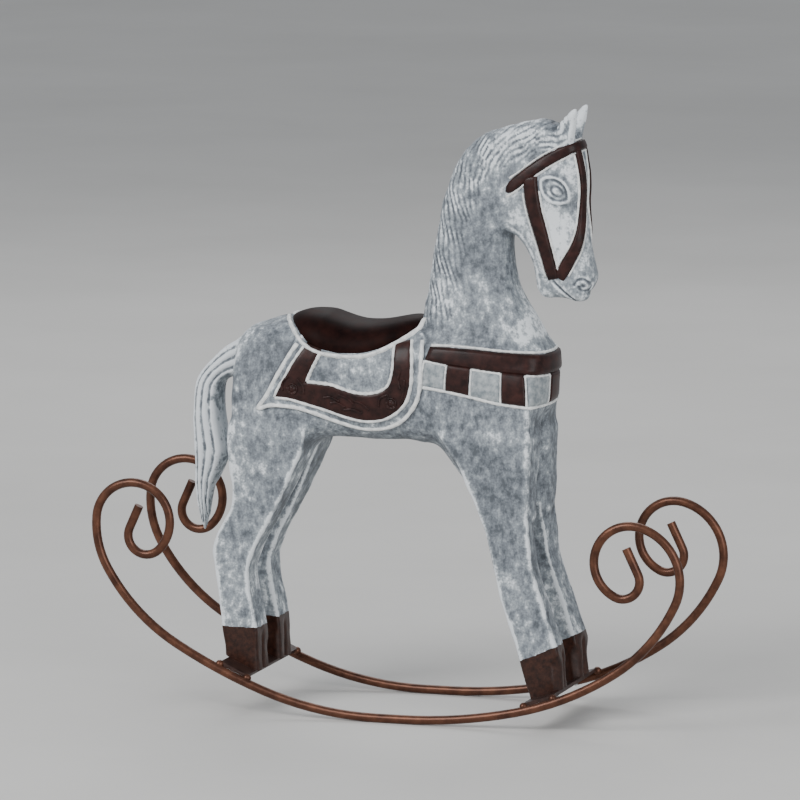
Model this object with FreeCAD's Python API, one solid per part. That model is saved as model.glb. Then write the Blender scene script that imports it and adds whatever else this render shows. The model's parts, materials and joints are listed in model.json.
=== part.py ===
import FreeCAD, Part
import math
import os

# Carved wooden rocking horse, a table-top ornament on two bent-wire rockers.
# Millimetres.  +X is the way the horse faces, +Z is up, the right side is -Y.
# The origin is at the middle of the bounding box in X and Y, on the surface it stands on.

V = FreeCAD.Vector
os.makedirs("parts", exist_ok=True)

# ---------------------------------------------------------------- driving dimensions

MID_X = -0.2               # where the bounding box is centred, in the drawing's own X
WIRE_D = 4.0               # rocker wire
ROCKER_Y = 36.5            # centre plane of each rocker
STRAIGHT_RUN = 12.0        # short straight the horse stands on, between the two runs of bends
LOWEST_X = 1.6             # middle of the straight, under the centre of mass
# each bend is (radius, sweep in degrees), from the straight out to the scroll
REAR_BENDS = [(153.9, 20.0), (249.1, 10.4), (89.0, 29.7), (40.0, 35.0), (17.3, 222.0), (8.4, 157.0)]
FRONT_BENDS = [(232.8, 13.0), (136.4, 21.0), (78.0, 31.0), (24.3, 100.5), (16.7, 169.0), (7.9, 141.0)]
REAR_TAIL = 11.0           # straight end inside the rear scroll
FRONT_TAIL = 12.5

PLATE_T = 1.5              # foot plates, sheet steel
PLATE_LENGTH = 14.0        # along the rocker
PLATE_WIDTH = 2.0 * ROCKER_Y - 1.0
REAR_PLATE_X = -71.8
FRONT_PLATE_X = 71.0

LEG_TOP_Z = 118.0          # glue joint between torso and legs
NECK_SEAT_BACK = (4.0, 176.0)      # glue joint between torso and neck, a plane that falls forwards
NECK_SEAT_FRONT = (64.0, 169.0)
TAIL_SEAT_X = -76.0        # glue joint between torso and tail
LEG_MID_Y = 15.5           # middle of a leg at the hoof

SCREW_D = 3.0
SCREW_HEAD_D = 6.0
SCREW_HEAD_H = 1.8
SCREW_LENGTH = 12.0
SCREW_POINT = 3.0
SCREW_X = 0.0              # from the middle of the plate, along the rocker
LEG_DOWEL_D = 8.0
LEG_DOWEL_LENGTH = 28.0
NECK_DOWEL_D = 10.0
NECK_DOWEL_LENGTH = 34.0
TAIL_DOWEL_D = 5.0
TAIL_DOWEL_LENGTH = 16.0

STRAP_T = 1.3              # thickness of the applied tack
BAND_T = 1.5               # saddle cloth band
SADDLE_T = 4.5
TAB_T = 1.0
ROSETTE_D = 5.0
STATION_STEP = 0.25        # degrees, for finding the rocker's slope under a plate

# ---------------------------------------------------------------- helpers


def superellipse(half_a, half_b, power, count=16):
    """Points (a, b) round |a/half_a|^power + |b/half_b|^power = 1."""
    points = []
    for i in range(count):
        t = 2.0 * math.pi * i / count
        c, s = math.cos(t), math.sin(t)
        a = half_a * math.copysign(abs(c) ** (2.0 / power), c)
        b = half_b * math.copysign(abs(s) ** (2.0 / power), s)
        points.append((a, b))
    return points


def closed_curve(points):
    curve = Part.BSplineCurve()
    curve.interpolate(Points=points, PeriodicFlag=True)
    return Part.Wire([curve.toShape()])


def level_section(z, x_low, x_high, y_low, y_high, power=2.6):
    """A level (constant z) rounded section between two x and two y values."""
    mid_x, mid_y = (x_low + x_high) / 2.0, (y_low + y_high) / 2.0
    ring = superellipse((x_high - x_low) / 2.0, (y_high - y_low) / 2.0, power)
    return closed_curve([V(mid_x + a, mid_y + b, z) for a, b in ring])


def upright_section(x, z_low, z_high, half_width, power=2.6):
    """An upright (constant x) rounded section."""
    mid_z = (z_low + z_high) / 2.0
    ring = superellipse(half_width, (z_high - z_low) / 2.0, power)
    return closed_curve([V(x, a, mid_z + b) for a, b in ring])


def loft(sections):
    return Part.makeLoft(sections, True, False)


def side_prism(outline, y_from, y_to, smooth=False):
    """A prism through Y whose outline is given as (x, z) points seen from the side."""
    points = [V(x, y_from, z) for x, z in outline]
    wire = closed_curve(points) if smooth else Part.makePolygon(points + [points[0]])
    return Part.Face(wire).extrude(V(0, y_to - y_from, 0))


def mirrored(shape):
    return shape.mirror(V(0, 0, 0), V(0, 1, 0))


def ribbon_outline(line, widths):
    """Outline of a strap of varying width along a centre line of (x, z) points."""
    left, right = [], []
    last = len(line) - 1
    for i, (x, z) in enumerate(line):
        x0, z0 = line[max(i - 1, 0)]
        x1, z1 = line[min(i + 1, last)]
        run = math.hypot(x1 - x0, z1 - z0)
        nx, nz = -(z1 - z0) / run, (x1 - x0) / run
        half = widths[i] / 2.0
        left.append((x + nx * half, z + nz * half))
        right.append((x - nx * half, z - nz * half))
    return left + right[::-1]


def solids_only(shape):
    solids = shape.Solids
    return solids[0] if len(solids) == 1 else Part.makeCompound(solids)


def save(name, shape):
    shape = shape.copy()
    shape.translate(V(-MID_X, 0, 0))
    shape = solids_only(shape)
    shape.exportStep("parts/%s.step" % name)
    box = shape.optimalBoundingBox(False)
    print("%-22s solids %2d  volume %9.1f  valid %s  x %.1f..%.1f  y %.1f..%.1f  z %.1f..%.1f" % (
        name, len(shape.Solids), shape.Volume, shape.isValid(),
        box.XMin, box.XMax, box.YMin, box.YMax, box.ZMin, box.ZMax))


# ---------------------------------------------------------------- rockers and plates


def bend_run(bends, straight_end, side):
    """Half the straight, then tangent arcs out to the scroll, in the XZ plane.

    side is +1 for the front run, which turns up towards +X, and -1 for the rear run.
    Returns the edges, and a list of (x, z, slope) every STATION_STEP degrees along the arcs.
    """
    x, z, heading = LOWEST_X + side * STRAIGHT_RUN / 2.0, WIRE_D / 2.0, 0.0
    edges, stations = [Part.LineSegment(V(LOWEST_X, 0, z), V(x, 0, z)).toShape()], []
    for radius, sweep in bends:
        centre_x = x - side * radius * math.sin(heading)
        centre_z = z + radius * math.cos(heading)

        def at(angle):
            return (centre_x + side * radius * math.sin(angle), centre_z - radius * math.cos(angle))

        turn = math.radians(sweep)
        mid, end = at(heading + turn / 2.0), at(heading + turn)
        edges.append(Part.Arc(V(x, 0, z), V(mid[0], 0, mid[1]), V(end[0], 0, end[1])).toShape())
        for i in range(int(sweep / STATION_STEP)):
            angle = heading + math.radians(i * STATION_STEP)
            stations.append(at(angle) + (side * angle,))
        x, z = end
        heading += turn
    tip = V(x + side * straight_end * math.cos(heading), 0, z + straight_end * math.sin(heading))
    edges.append(Part.LineSegment(V(x, 0, z), tip).toShape())
    return edges, stations


def slope_at(stations, x):
    """Height and slope of the rocker's centre line below the given x."""
    low = [s for s in stations if s[1] < 45.0]
    return min(low, key=lambda s: abs(s[0] - x))


def make_rocker(y):
    rear, _ = bend_run(REAR_BENDS, REAR_TAIL, -1)
    front, _ = bend_run(FRONT_BENDS, FRONT_TAIL, 1)
    halves = []
    for edges in (rear, front):
        path = Part.Wire(edges)
        ring = Part.Wire([Part.makeCircle(WIRE_D / 2.0, V(LOWEST_X, 0, WIRE_D / 2.0), V(1, 0, 0))])
        halves.append(path.makePipeShell([ring], True, False))
    rocker = halves[0].fuse(halves[1]).removeSplitter()
    rocker.translate(V(0, y, 0))
    return rocker


def plate_frame(x, side):
    """Placement whose XY plane is the plate's underside and whose origin is its middle."""
    bends, tail = (REAR_BENDS, REAR_TAIL) if side < 0 else (FRONT_BENDS, FRONT_TAIL)
    _, stations = bend_run(bends, tail, side)
    px, pz, angle = slope_at(stations, x)
    radius = WIRE_D / 2.0
    origin = V(px - radius * math.sin(angle), 0, pz + radius * math.cos(angle))
    return FreeCAD.Placement(origin, FreeCAD.Rotation(V(0, 1, 0), math.degrees(-angle)))


def make_plate(frame):
    plate = Part.makeBox(PLATE_LENGTH, PLATE_WIDTH, PLATE_T, V(-PLATE_LENGTH / 2, -PLATE_WIDTH / 2, 0))
    corners = [e for e in plate.Edges if e.Length == PLATE_T]
    plate = plate.makeFillet(2.0, corners)
    for y in (-LEG_MID_Y, LEG_MID_Y):
        plate = plate.cut(Part.makeCylinder(SCREW_D / 2.0, 10.0, V(SCREW_X, y, -5.0)))
    plate.Placement = frame
    return plate


def make_screws(frame):
    """Pan-head wood screws from below, through the plate and up into the hooves."""
    screws = []
    for y in (-LEG_MID_Y, LEG_MID_Y):
        head = Part.makeCylinder(SCREW_HEAD_D / 2.0, SCREW_HEAD_H, V(SCREW_X, y, -SCREW_HEAD_H))
        straight = SCREW_LENGTH - SCREW_POINT
        shank = Part.makeCylinder(SCREW_D / 2.0, straight, V(SCREW_X, y, 0))
        point = Part.makeCone(SCREW_D / 2.0, 0.3, SCREW_POINT, V(SCREW_X, y, straight))
        screw = head.fuse(shank).fuse(point).removeSplitter()
        slot_corner = V(SCREW_X - SCREW_HEAD_D / 2 - 0.5, y - 0.4, -SCREW_HEAD_H)
        slot = Part.makeBox(SCREW_HEAD_D + 1, 0.8, 0.8, slot_corner)
        screw = screw.cut(slot)
        screw.Placement = frame
        screws.append(screw)
    return screws


def make_welds(frame, plate, rockers):
    """Weld beads where each plate edge lies on each wire."""
    beads = []
    for x in (-PLATE_LENGTH / 2.0, PLATE_LENGTH / 2.0):
        for y in (-ROCKER_Y + 1.0, ROCKER_Y - 1.0):
            bead = Part.makeSphere(1.9, V(x, y, 0.0))
            bead.Placement = frame
            for solid in [plate] + rockers:
                bead = bead.cut(solid)
            beads.append(max(bead.Solids, key=lambda s: s.Volume))
    return beads


# ---------------------------------------------------------------- carved wooden pieces

TORSO_SECTIONS = [
    # x, z low, z high, half width
    (-78.0, 98.0, 163.0, 16.0),
    (-75.0, 92.0, 167.0, 20.0),
    (-66.0, 90.0, 172.0, 23.4),
    (-56.0, 100.0, 174.5, 24.2),
    (-48.0, 115.0, 174.0, 24.0),
    (-38.0, 121.0, 172.5, 23.4),
    (-16.0, 121.5, 170.5, 22.5),
    (6.0, 121.5, 173.5, 22.5),
    (18.0, 119.0, 178.0, 22.8),
    (28.0, 104.0, 181.0, 23.3),
    (44.0, 90.0, 180.0, 23.4),
    (56.0, 90.0, 175.0, 22.4),
    (62.4, 92.0, 168.5, 19.4),
    (66.4, 100.0, 165.0, 11.5),
]
CHEST_X = 56.0             # the breast curves round in front of this

HIND_LEG_SECTIONS = [
    # z, x back, x front, y inner, y outer (distances from the middle plane)
    (122.0, -77.6, -43.2, 0.6, 23.6),
    (116.0, -77.4, -43.8, 0.8, 23.6),
    (107.0, -77.0, -48.0, 2.5, 23.4),
    (96.0, -76.2, -53.2, 5.0, 23.2),
    (86.0, -79.5, -58.4, 6.5, 23.0),
    (78.0, -83.8, -62.7, 7.2, 23.0),
    (71.0, -85.7, -66.0, 7.6, 23.2),
    (62.0, -84.3, -68.4, 7.8, 23.4),
    (50.0, -82.5, -67.0, 7.6, 23.8),
    (37.0, -80.8, -64.2, 7.4, 24.2),
    (24.0, -79.0, -63.6, 7.2, 24.4),
    (8.0, -77.4, -63.2, 7.2, 24.4),
]

FORE_LEG_SECTIONS = [
    (122.0, 24.4, 61.2, 0.6, 22.9),
    (116.0, 28.5, 60.8, 0.6, 22.9),
    (108.0, 31.8, 60.5, 0.8, 22.9),
    (97.0, 36.8, 60.4, 2.5, 22.9),
    (86.0, 40.9, 61.9, 5.0, 23.0),
    (76.0, 44.0, 62.8, 6.5, 23.2),
    (66.0, 46.0, 64.8, 7.2, 23.5),
    (55.0, 49.3, 68.7, 7.4, 24.0),
    (45.0, 52.8, 72.0, 7.4, 24.4),
    (34.0, 56.5, 75.8, 7.2, 24.8),
    (20.0, 60.6, 77.2, 7.0, 24.8),
    (4.0, 66.0, 78.2, 7.0, 24.8),
]

NECK_SECTIONS = [
    # z, x back, x front, half width, squareness
    (166.0, 5.0, 63.6, 19.0, 3.4),
    (178.0, 6.6, 59.4, 16.5, 2.8),
    (190.0, 9.2, 53.4, 14.2, 2.4),
    (204.0, 11.0, 48.6, 12.0, 2.2),
    (218.0, 13.8, 50.0, 10.6, 2.2),
    (232.0, 16.6, 56.0, 10.2, 2.2),
    (244.0, 20.8, 60.0, 9.8, 2.2),
    (254.0, 27.0, 66.0, 8.6, 2.2),
    (261.5, 37.5, 70.0, 6.6, 2.2),
    (266.4, 50.0, 68.0, 3.6, 2.2),
]

HEAD_SECTIONS = [
    (187.6, 66.0, 80.0, 5.0),
    (190.5, 62.0, 83.5, 6.8),
    (197.0, 59.8, 86.4, 7.6),
    (206.0, 57.4, 85.2, 7.8),
    (215.0, 51.5, 83.6, 9.0),
    (226.0, 44.0, 82.0, 10.6),
    (237.0, 40.0, 82.0, 11.6),
    (248.0, 38.0, 81.0, 11.2),
    (257.0, 40.0, 78.6, 9.4),
    (263.5, 48.0, 74.0, 6.4),
]


def make_torso_body(extra=0.0):
    sections = []
    last = len(TORSO_SECTIONS) - 1
    for i, (x, low, high, half) in enumerate(TORSO_SECTIONS):
        shift = -extra if i == 0 else extra * max(0.0, x - CHEST_X) / (TORSO_SECTIONS[last][0] - CHEST_X)
        sections.append(upright_section(x + shift, low - extra, high + extra, half + extra))
    return loft(sections)


def make_leg_body(rows):
    return loft([level_section(z, back, front, -outer, -inner, 3.6) for z, back, front, inner, outer in rows])


def make_neck_body(extra=0.0):
    return loft([level_section(z, back - extra, front + extra, -half - extra, half + extra, power)
                 for z, back, front, half, power in NECK_SECTIONS])


def make_head_body(extra=0.0):
    return loft([level_section(z, back - extra, front + extra, -half - extra, half + extra, 2.4)
                 for z, back, front, half in HEAD_SECTIONS])


def make_ear(side):
    """A short pointed ear that leans a little forwards and outwards."""
    rows = [(258.0, 69.5, 77.5, 3.4, 9.6), (265.0, 71.5, 78.4, 4.8, 10.4),
            (270.0, 74.5, 79.2, 6.6, 10.6), (273.4, 77.6, 79.4, 8.2, 9.6)]
    sections = []
    for z, back, front, inner, outer in rows:
        y_low, y_high = sorted((side * inner, side * outer))
        sections.append(level_section(z, back, front, y_low, y_high, 2.0))
    return loft(sections)


def tail_ring(x, z, angle, half_long, half_wide):
    """A section square to the tail's centre line; angle is the line's heading below level."""
    a = math.radians(angle)
    along_x, along_z = -math.sin(a), math.cos(a)
    ring = superellipse(half_long, half_wide, 2.2)
    return closed_curve([V(x + p * along_x, q, z + p * along_z) for p, q in ring])


TAIL_RINGS = [
    # x, z, heading below level (0 is straight back), half depth, half width
    (-74.0, 155.5, 20.0, 8.6, 7.0),
    (-80.5, 153.0, 32.0, 9.2, 7.8),
    (-88.0, 147.0, 52.0, 9.2, 8.4),
    (-92.8, 137.0, 74.0, 8.0, 8.4),
    (-93.6, 125.0, 88.0, 7.9, 8.2),
    (-92.4, 112.0, 92.0, 8.8, 7.8),
    (-93.4, 103.5, 86.0, 7.6, 7.2),
    (-95.6, 97.0, 84.0, 5.2, 5.6),
    (-96.6, 88.0, 90.0, 3.8, 4.4),
    (-96.6, 81.0, 90.0, 2.6, 3.0),
    (-96.5, 76.2, 90.0, 1.0, 1.2),
]

# ---------------------------------------------------------------- tack outlines, seen from the side

SADDLE_OUTLINE = [
    (-54.0, 174.0), (-51.5, 178.0), (-44.0, 180.2), (-35.0, 179.2), (-24.0, 176.2), (-14.0, 176.2),
    (-4.0, 177.8), (6.0, 181.2), (13.5, 183.5), (13.5, 178.5), (7.0, 172.5), (-1.0, 167.0),
    (-12.0, 163.4), (-23.0, 162.2), (-34.0, 163.2), (-43.0, 167.0), (-48.0, 171.0),
]

BAND_OUTER = [
    (-42.3, 165.5), (-48.4, 155.2), (-55.5, 141.6), (-46.0, 140.6), (-36.3, 138.0), (-23.3, 134.0),
    (-11.0, 132.4), (0.5, 136.6), (6.8, 146.2), (8.0, 156.0), (6.8, 168.0),
]
BAND_INNER = [
    (-1.2, 167.5), (-1.0, 157.0), (-2.6, 149.6), (-9.0, 145.6), (-16.0, 145.0), (-24.0, 146.6),
    (-33.0, 148.8), (-40.6, 149.0), (-36.6, 158.4), (-34.0, 164.5),
]

ROSETTES = [(-46.5, 146.5), (-1.5, 141.5)]

LEAF_OUTLINE = [
    (-31.5, 143.0), (-26.0, 143.4), (-20.0, 141.2), (-13.0, 139.4),
    (-16.5, 137.4), (-22.0, 137.6), (-27.0, 140.2),
]

COLLAR_TOP = [(12.4, 166.6), (39.0, 166.0), (57.5, 165.0), (72.0, 167.0)]
COLLAR_LOW = [(72.0, 157.6), (55.0, 156.4), (39.0, 157.4), (21.0, 159.6), (12.4, 161.4)]
TAB_BOTTOM = [(23.5, 147.8), (48.0, 143.6), (70.0, 142.0)]
SIDE_TABS = [(23.5, 35.0), (48.8, 59.8)]
FRONT_TAB_HALF = 6.0

CROWN_LINE = [(47.6, 238.4), (53.0, 240.0), (60.0, 245.6), (68.0, 251.0), (76.0, 255.2), (83.0, 258.4)]
CROWN_WIDTHS = [3.6, 5.2, 5.2, 5.0, 4.8, 4.6]
CHEEK_LINE = [(59.2, 243.6), (60.6, 232.0), (63.4, 220.0), (66.2, 210.0), (68.4, 202.0)]
CHEEK_WIDTHS = [6.0, 5.8, 5.4, 5.0, 4.4]
FACE_LINE = [(78.0, 255.5), (81.6, 245.0), (82.0, 234.0), (81.4, 224.0), (79.0, 214.0), (74.4, 205.4), (70.4, 199.0)]
FACE_WIDTHS = [3.4, 3.4, 3.6, 4.0, 4.6, 5.2, 5.0]

# ---------------------------------------------------------------- build

rocker_right = make_rocker(-ROCKER_Y)
rocker_left = make_rocker(ROCKER_Y)
rear_frame = plate_frame(REAR_PLATE_X, -1)
front_frame = plate_frame(FRONT_PLATE_X, 1)
plates = {"rear": make_plate(rear_frame), "front": make_plate(front_frame)}
screws = make_screws(rear_frame) + make_screws(front_frame)
welds = make_welds(rear_frame, plates["rear"], [rocker_right, rocker_left])
welds += make_welds(front_frame, plates["front"], [rocker_right, rocker_left])


def cut_at_plate(leg, frame):
    """Take the leg off flat at the plate's top face."""
    below = Part.makeBox(120.0, 120.0, 60.0, V(-60.0, -60.0, -60.0 + PLATE_T))
    below.Placement = frame
    return leg.cut(below)


def above(z):
    return Part.makeBox(400.0, 200.0, 300.0, V(-200.0, -100.0, z))


def below(z):
    return Part.makeBox(400.0, 200.0, 300.0, V(-200.0, -100.0, z - 300.0))


def neck_seat_z(x):
    fall = (NECK_SEAT_FRONT[1] - NECK_SEAT_BACK[1]) / (NECK_SEAT_FRONT[0] - NECK_SEAT_BACK[0])
    return NECK_SEAT_BACK[1] + fall * (x - NECK_SEAT_BACK[0])


def neck_seat_block(height):
    """Everything over the neck's glue joint (height > 0), or everything under it (height < 0)."""
    x_back, x_front = -4.0, 100.0
    z_back, z_front = neck_seat_z(x_back), neck_seat_z(x_front)
    outline = [(x_back, z_back), (x_front, z_front), (x_front, z_front + height), (x_back, z_back + height)]
    return side_prism(outline, -100.0, 100.0)


torso_body = make_torso_body()
torso = torso_body.cut(below(LEG_TOP_Z)).cut(neck_seat_block(90.0))
torso = torso.cut(Part.makeBox(60.0, 200.0, 400.0, V(TAIL_SEAT_X - 60.0, -100.0, 0.0)))

legs = {}
for name, rows, frame in (("hind", HIND_LEG_SECTIONS, rear_frame), ("fore", FORE_LEG_SECTIONS, front_frame)):
    leg = cut_at_plate(make_leg_body(rows).cut(above(LEG_TOP_Z)), frame)
    legs[name] = leg

neck_body = make_neck_body()
head_body = make_head_body()
neck_and_head = neck_body.fuse(head_body).cut(neck_seat_block(-60.0))
for side in (-1, 1):
    neck_and_head = neck_and_head.fuse(make_ear(side))

tail = loft([tail_ring(*ring) for ring in TAIL_RINGS])
tail = tail.cut(Part.makeBox(60.0, 200.0, 400.0, V(TAIL_SEAT_X, -100.0, 0.0)))

# saddle: a thick shell over the back, inside the side outline
thick = make_torso_body(SADDLE_T)
saddle = side_prism(SADDLE_OUTLINE, -40.0, 40.0, smooth=True).common(thick)
saddle = saddle.cut(torso_body).cut(neck_body)
saddle = max(saddle.Solids, key=lambda s: s.Volume)

# saddle cloth band, rosettes and leaf, right side first
band_shell = make_torso_body(BAND_T).cut(torso_body)
band = side_prism(BAND_OUTER + BAND_INNER, -40.0, 0.0).common(band_shell).cut(saddle)
band = max(band.Solids, key=lambda s: s.Volume)
raised = make_torso_body(BAND_T + 0.8).cut(make_torso_body(BAND_T))
rosettes, leaves = [], []
for x, z in ROSETTES:
    button = Part.makeCylinder(ROSETTE_D / 2.0, 40.0, V(x, -40.0, z), V(0, 1, 0)).common(raised)
    rosettes += [button, mirrored(button)]
leaf = side_prism(LEAF_OUTLINE, -40.0, 0.0, smooth=True).common(raised)
leaves += [leaf, mirrored(leaf)]

# breast collar round the chest, and the tabs that hang under it
collar_shell = make_torso_body(STRAP_T).cut(torso_body).cut(neck_body)
collar = side_prism(COLLAR_TOP + COLLAR_LOW, -40.0, 40.0).common(collar_shell)
collar = max(collar.Solids, key=lambda s: s.Volume)
tab_shell = make_torso_body(TAB_T).cut(torso_body)
tabs = []
for x_back, x_front in SIDE_TABS:
    slope = (TAB_BOTTOM[-1][1] - TAB_BOTTOM[0][1]) / (TAB_BOTTOM[-1][0] - TAB_BOTTOM[0][0])
    low_back = TAB_BOTTOM[0][1] + slope * (x_back - TAB_BOTTOM[0][0])
    low_front = TAB_BOTTOM[0][1] + slope * (x_front - TAB_BOTTOM[0][0])
    outline = [(x_back, 162.0), (x_front, 162.0), (x_front, low_front), (x_back, low_back)]
    tab = side_prism(outline, -40.0, 0.0).common(tab_shell).cut(collar)
    tab = max(tab.Solids, key=lambda s: s.Volume)
    tabs += [tab, mirrored(tab)]
front_block = Part.makeBox(20.0, 2.0 * FRONT_TAB_HALF, 20.0, V(60.0, -FRONT_TAB_HALF, 142.4))
front_tab = max(front_block.common(tab_shell).cut(collar).Solids, key=lambda s: s.Volume)
tabs.append(front_tab)

# bridle: a crown strap over the brow, two cheek straps and two face straps
bare_head = neck_body.fuse(head_body)
head_thick = make_neck_body(STRAP_T).fuse(make_head_body(STRAP_T))
bridle_shell = head_thick.cut(bare_head).cut(make_ear(-1)).cut(make_ear(1))
crown = side_prism(ribbon_outline(CROWN_LINE, CROWN_WIDTHS), -40.0, 40.0).common(bridle_shell)
crown = max(crown.Solids, key=lambda s: s.Volume)
cheek = side_prism(ribbon_outline(CHEEK_LINE, CHEEK_WIDTHS), -40.0, 0.0).common(bridle_shell).cut(crown)
cheek = max(cheek.Solids, key=lambda s: s.Volume)
face = side_prism(ribbon_outline(FACE_LINE, FACE_WIDTHS), -40.0, -1.5).common(bridle_shell)
face = max(face.cut(crown).cut(cheek).Solids, key=lambda s: s.Volume)

# dowels and screws, and the holes that take them
leg_dowels = []
for x in (-63.0, 45.0):
    for y in (-12.5, 12.5):
        leg_dowels.append(Part.makeCylinder(
            LEG_DOWEL_D / 2.0, LEG_DOWEL_LENGTH, V(x, y, LEG_TOP_Z - LEG_DOWEL_LENGTH / 2.0)))
neck_dowels = []
for x in (24.0, 46.0):
    neck_dowels.append(Part.makeCylinder(
        NECK_DOWEL_D / 2.0, NECK_DOWEL_LENGTH, V(x, 0, neck_seat_z(x) - NECK_DOWEL_LENGTH / 2.0)))
tail_dowel = Part.makeCylinder(
    TAIL_DOWEL_D / 2.0, TAIL_DOWEL_LENGTH, V(TAIL_SEAT_X - TAIL_DOWEL_LENGTH / 2.0, 0, 155.0), V(1, 0, 0))

for dowel in leg_dowels + neck_dowels + [tail_dowel]:
    torso = torso.cut(dowel)
for dowel in neck_dowels:
    neck_and_head = neck_and_head.cut(dowel)
tail = tail.cut(tail_dowel).cut(torso)

save("torso", torso)
save("neck_and_head", neck_and_head)
save("tail", tail)
for name in ("hind", "fore"):
    right = legs[name]
    for side, leg in (("right", right), ("left", mirrored(right))):
        for solid in leg_dowels + screws:
            leg = leg.cut(solid)
        save("%s_%sleg" % (side, "fore" if name == "fore" else "hind_"), leg)
save("leg_dowels", Part.makeCompound(leg_dowels))
save("neck_dowels", Part.makeCompound(neck_dowels))
save("tail_dowel", tail_dowel)
save("saddle", saddle)
save("right_cloth_band", band)
save("left_cloth_band", mirrored(band))
save("cloth_rosettes", Part.makeCompound(rosettes))
save("leaf_ornaments", Part.makeCompound(leaves))
save("breast_collar", collar)
save("collar_tabs", Part.makeCompound(tabs))
save("crown_strap", crown)
save("right_cheek_strap", cheek)
save("left_cheek_strap", mirrored(cheek))
save("right_face_strap", face)
save("left_face_strap", mirrored(face))
save("right_rocker", rocker_right)
save("left_rocker", rocker_left)
save("rear_foot_plate", plates["rear"])
save("front_foot_plate", plates["front"])
save("hoof_screws", Part.makeCompound(screws))
save("weld_beads", Part.makeCompound(welds))
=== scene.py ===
# %% [markdown]
# A small carved wooden rocking horse, painted grey and rubbed back, on two rockers of bent wire.
# The frame is the measured model: wires, plates, screws, dowels and the plain block shapes of the
# wooden pieces.  Here the wooden pieces and the raised tack are made again as surfaces, because
# carving has soft hollows, tool marks and locks of hair that a plain block shape hasn't.

import json
import math

import bmesh
import bpy
import numpy as np
from mathutils import Vector
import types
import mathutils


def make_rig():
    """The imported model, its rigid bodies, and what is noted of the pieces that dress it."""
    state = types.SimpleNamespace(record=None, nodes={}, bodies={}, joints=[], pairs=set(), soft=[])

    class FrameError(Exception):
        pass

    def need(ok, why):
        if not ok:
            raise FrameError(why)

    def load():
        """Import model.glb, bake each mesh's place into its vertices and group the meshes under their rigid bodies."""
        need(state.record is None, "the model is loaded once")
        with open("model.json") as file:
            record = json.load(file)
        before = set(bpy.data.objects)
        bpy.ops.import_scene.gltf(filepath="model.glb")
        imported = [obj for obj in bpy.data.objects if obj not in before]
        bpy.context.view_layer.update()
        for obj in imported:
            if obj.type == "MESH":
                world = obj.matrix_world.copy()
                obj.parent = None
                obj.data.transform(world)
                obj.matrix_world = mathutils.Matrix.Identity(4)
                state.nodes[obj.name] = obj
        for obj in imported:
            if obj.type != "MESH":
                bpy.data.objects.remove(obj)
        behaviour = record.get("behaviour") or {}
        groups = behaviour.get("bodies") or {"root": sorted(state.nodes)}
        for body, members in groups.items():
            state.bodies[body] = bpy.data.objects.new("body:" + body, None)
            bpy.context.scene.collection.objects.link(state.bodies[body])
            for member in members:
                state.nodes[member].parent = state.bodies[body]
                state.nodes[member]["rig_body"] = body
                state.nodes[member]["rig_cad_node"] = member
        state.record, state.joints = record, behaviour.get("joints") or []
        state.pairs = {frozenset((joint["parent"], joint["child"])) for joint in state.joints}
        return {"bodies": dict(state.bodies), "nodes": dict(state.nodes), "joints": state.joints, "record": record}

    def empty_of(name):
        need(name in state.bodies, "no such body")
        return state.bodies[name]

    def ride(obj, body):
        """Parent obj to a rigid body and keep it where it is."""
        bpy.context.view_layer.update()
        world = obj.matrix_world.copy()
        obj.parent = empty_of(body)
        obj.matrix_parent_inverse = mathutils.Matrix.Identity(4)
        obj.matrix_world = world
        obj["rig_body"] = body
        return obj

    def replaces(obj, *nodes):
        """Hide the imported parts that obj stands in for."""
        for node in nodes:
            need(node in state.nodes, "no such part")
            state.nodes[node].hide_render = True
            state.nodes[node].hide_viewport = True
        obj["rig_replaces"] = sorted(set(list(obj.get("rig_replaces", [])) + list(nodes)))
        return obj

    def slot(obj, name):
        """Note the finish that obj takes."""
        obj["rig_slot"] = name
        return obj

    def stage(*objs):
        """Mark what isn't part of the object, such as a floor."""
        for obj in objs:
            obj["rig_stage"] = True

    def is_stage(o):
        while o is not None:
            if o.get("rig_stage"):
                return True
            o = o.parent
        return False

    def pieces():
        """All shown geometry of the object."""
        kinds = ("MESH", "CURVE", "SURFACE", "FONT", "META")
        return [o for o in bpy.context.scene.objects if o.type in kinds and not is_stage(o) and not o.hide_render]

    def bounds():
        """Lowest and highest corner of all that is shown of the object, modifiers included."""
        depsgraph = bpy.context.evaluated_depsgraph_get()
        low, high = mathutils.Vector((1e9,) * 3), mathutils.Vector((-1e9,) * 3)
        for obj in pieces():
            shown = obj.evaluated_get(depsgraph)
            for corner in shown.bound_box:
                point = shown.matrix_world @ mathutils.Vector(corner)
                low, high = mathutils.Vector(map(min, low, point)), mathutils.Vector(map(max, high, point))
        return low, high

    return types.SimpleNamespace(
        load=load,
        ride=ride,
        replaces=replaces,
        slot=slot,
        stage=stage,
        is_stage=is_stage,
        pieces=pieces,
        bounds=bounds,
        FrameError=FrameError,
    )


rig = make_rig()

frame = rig.load()
cad_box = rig.bounds()
nodes = frame["nodes"]
MM = 0.001
SHIFT_X = 0.2            # the tables are drawn 0.2 mm behind the frame's own middle
print("frame nodes:", len(nodes))

# %% [markdown]
# Most of the horse is described by short tables in millimetres, read off at stations along each
# part.  Two helpers turn a table into something smooth: one carries a curve through given points,
# the other reads a table as a smooth function of its first column.

# %% Smooth curves and tables


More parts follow.
